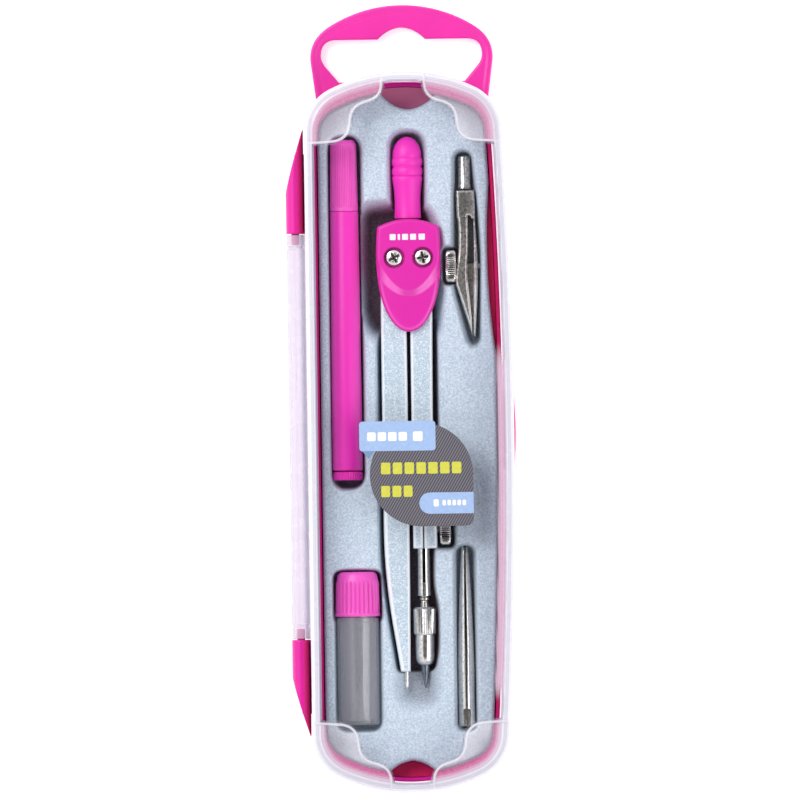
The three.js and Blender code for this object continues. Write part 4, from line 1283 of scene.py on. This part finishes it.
def container():
    low, high = span("spare_lead_cap")
    foot, top = low[1], high[1]
    cap = [(4.8, foot), (5.5, foot), (5.65, foot + 0.25), (5.65, foot + 0.75), (5.55, foot + 1.0)]
    cap += [(5.55, foot + 2), (5.5, foot + 4), (5.45, foot + 6), (5.4, top - 3.0), (5.25, top - 2.3)]
    cap += [(5.1, top - 1.8), (4.95, top - 0.8), (4.6, top - 0.25), (4.1, top)]
    ribbed = (foot + 0.9, top - 2.6)
    piece = turned("container_cap", cap, CONTAINER_X, sides=224, ripple=ribs(28, 0.4, *ribbed, 2), sharp=35,
                   body="container_cap", finish=CAP_PINK, replaces=("spare_lead_cap",))
    # Painted shade in the cap's grooves.
    paint(piece, "painted_shade", in_grooves(28, 0.12, CONTAINER_X, *ribbed))
    low, high = span("spare_lead_tube")
    foot = low[1]
    tube = [(4.3, foot), (4.9, foot + 0.1), (5.2, foot + 0.6), (5.2, -54.7), (4.5, -54.5), (4.5, high[1]),
            (3.8, high[1]), (3.8, -55.5), (4.4, -55.7), (4.4, foot + 1.6), (3.9, foot + 1.05)]
    turned("container_tube", tube, CONTAINER_X, sides=96, body="lead_container", finish=TUBE_CLEAR,
           replaces=("spare_lead_tube",))
    for hand in ("upper", "lower"):
        node = f"spare_lead_{hand}"
        low, high = span(node)
        profile = [(0.3, low[1]), (0.6, low[1] + 1.0), (1.0, low[1] + 3.0), (1.0, high[1])]
        turned(f"stored_lead_{hand}", profile, centre(node)[0], centre(node)[2], 32, body="lead_container",
               finish=GRAPHITE, replaces=(node,))


def rolled_sleeve():
    low, high = span("rolled_sleeve")
    foot, top = low[1], high[1]
    taper = [(2.1, foot), (2.1, -77.8), (2.1, -77.6), (2.1, -66), (1.95, -60), (1.6, -50), (1.15, -42)]
    taper += [(0.95, -39), (0.8, top - 0.4), (0.6, top - 0.1), (0.35, top)]
    mouth = lambda y: 2.0 if y < -77.7 else 0.42
    sleeve = rolled("sheet_sleeve", taper, SLEEVE_X, mouth, 0.35, finish=BRIGHT,
                    body="sleeve", replaces=("rolled_sleeve",))
    # Painted shade along the seam on the upper part.
    paint(sleeve, "painted_shade", lambda x, y, z: 0.75 * smooth((0.42 - np.abs(x - SLEEVE_X)) / 0.1) * (y > -60))


def small_cad_nodes():
    """CAD nodes that stay as they are and only need their material."""
    looks = {"pivot_nut_left": NICKEL, "pivot_nut_right": NICKEL, "friction_washer_left": STEEL,
             "friction_washer_right": STEEL}
    for node, (_, material) in looks.items():
        data = frame["nodes"][node].data
        data.materials.clear()
        data.materials.append(material)


# ---------------- stage


def floor():
    bpy.ops.mesh.primitive_plane_add(size=30, location=(0, 0, -0.0002))
    plane = bpy.context.object
    plane.name = "floor"
    n = Nodes("pale_floor")
    tone = n.ramp(n.noise(3, 2), [(0.3, (0.90, 0.90, 0.90)), (0.7, (0.92, 0.92, 0.92))])
    n.set(Base_Color=tone, Roughness=0.9)
    n.set(Emission_Color=(1, 1, 1, 1), Emission_Strength=0.42)
    plane.data.materials.append(n.material)


def area_light(name, place, size, power):
    light = bpy.data.lights.new(name, "AREA")
    light.energy = power
    light.shape = "RECTANGLE"
    light.size, light.size_y = size
    lamp = bpy.data.objects.new(name, light)
    lamp.location = place
    lamp.rotation_euler = (-Vector(place)).to_track_quat("-Z", "Y").to_euler()
    bpy.context.collection.objects.link(lamp)


def studio():
    """A white tent with a dark opening overhead, and two soft lights."""
    world = bpy.data.worlds.new("studio")
    world.use_nodes = True
    tree = world.node_tree
    direction = tree.nodes.new("ShaderNodeTexCoord").outputs["Generated"]
    split = tree.nodes.new("ShaderNodeSeparateXYZ")
    tree.links.new(direction, split.inputs[0])
    ramp = tree.nodes.new("ShaderNodeMapRange")
    dark_from, dark_full = math.cos(math.radians(31)), math.cos(math.radians(20))
    settings = {"From Min": dark_from, "From Max": dark_full, "To Min": 0.93, "To Max": 0.12}
    for socket, value in settings.items():
        ramp.inputs[socket].default_value = value
    tree.links.new(split.outputs["Z"], ramp.inputs["Value"])
    background = tree.nodes["Background"]
    background.inputs["Color"].default_value = (1, 1, 1, 1)
    tree.links.new(ramp.outputs[0], background.inputs["Strength"])
    bpy.context.scene.world = world
    area_light("key", (-0.6, 0.5, 0.9), (0.6, 0.6), 7.5)
    area_light("fill", (0.8, -0.3, 0.8), (0.8, 0.8), 3.8)
    bpy.context.scene.view_settings.view_transform = "Standard"


def camera():
    """Straight down on the case, from far off. The case leans a little to the left in the view."""
    distance, width, lean = 8.0, 0.2, 0.0145
    data = bpy.data.cameras.new("view")
    data.lens = data.sensor_width * distance / width
    data.clip_end = 20
    eye = bpy.data.objects.new("view", data)
    eye.location = (-0.0005, -0.00033, distance)
    eye.rotation_euler = (0, 0, -lean)
    bpy.context.collection.objects.link(eye)
    bpy.context.scene.camera = eye


# ---------------- the whole case

camera()
studio()
floor()
base_shell()
tray_ledge()
hang_loop()
hinge_ear("hinge_ear_top", *EAR_TOP)
hinge_ear("hinge_ear_bottom", *EAR_BOTTOM)
latch_parts()
lid_shell()
lid_step_beads()
hinge_barrel()
lid_latch()
label()
insert_tray()
compass_grip()
head_cover("head_front", "compass_head_front", True)
head_cover("head_back", "compass_head_back", False)
head_walls()
for hand, place in zip(("left", "right"), PIVOT_X):
    pivot_screw(hand, place)
legs()
points_and_leads()
lead_holder()
knurled_screw("clamp_screw", "clamp_thumbscrew", 8.95, 11.8, "clamp_screw")
knurled_screw("pen_screw", "ruling_pen_screw", 11.3, 14.0, "pen_screw")
ruling_pen()
handle_tube()
container()
rolled_sleeve()
small_cad_nodes()
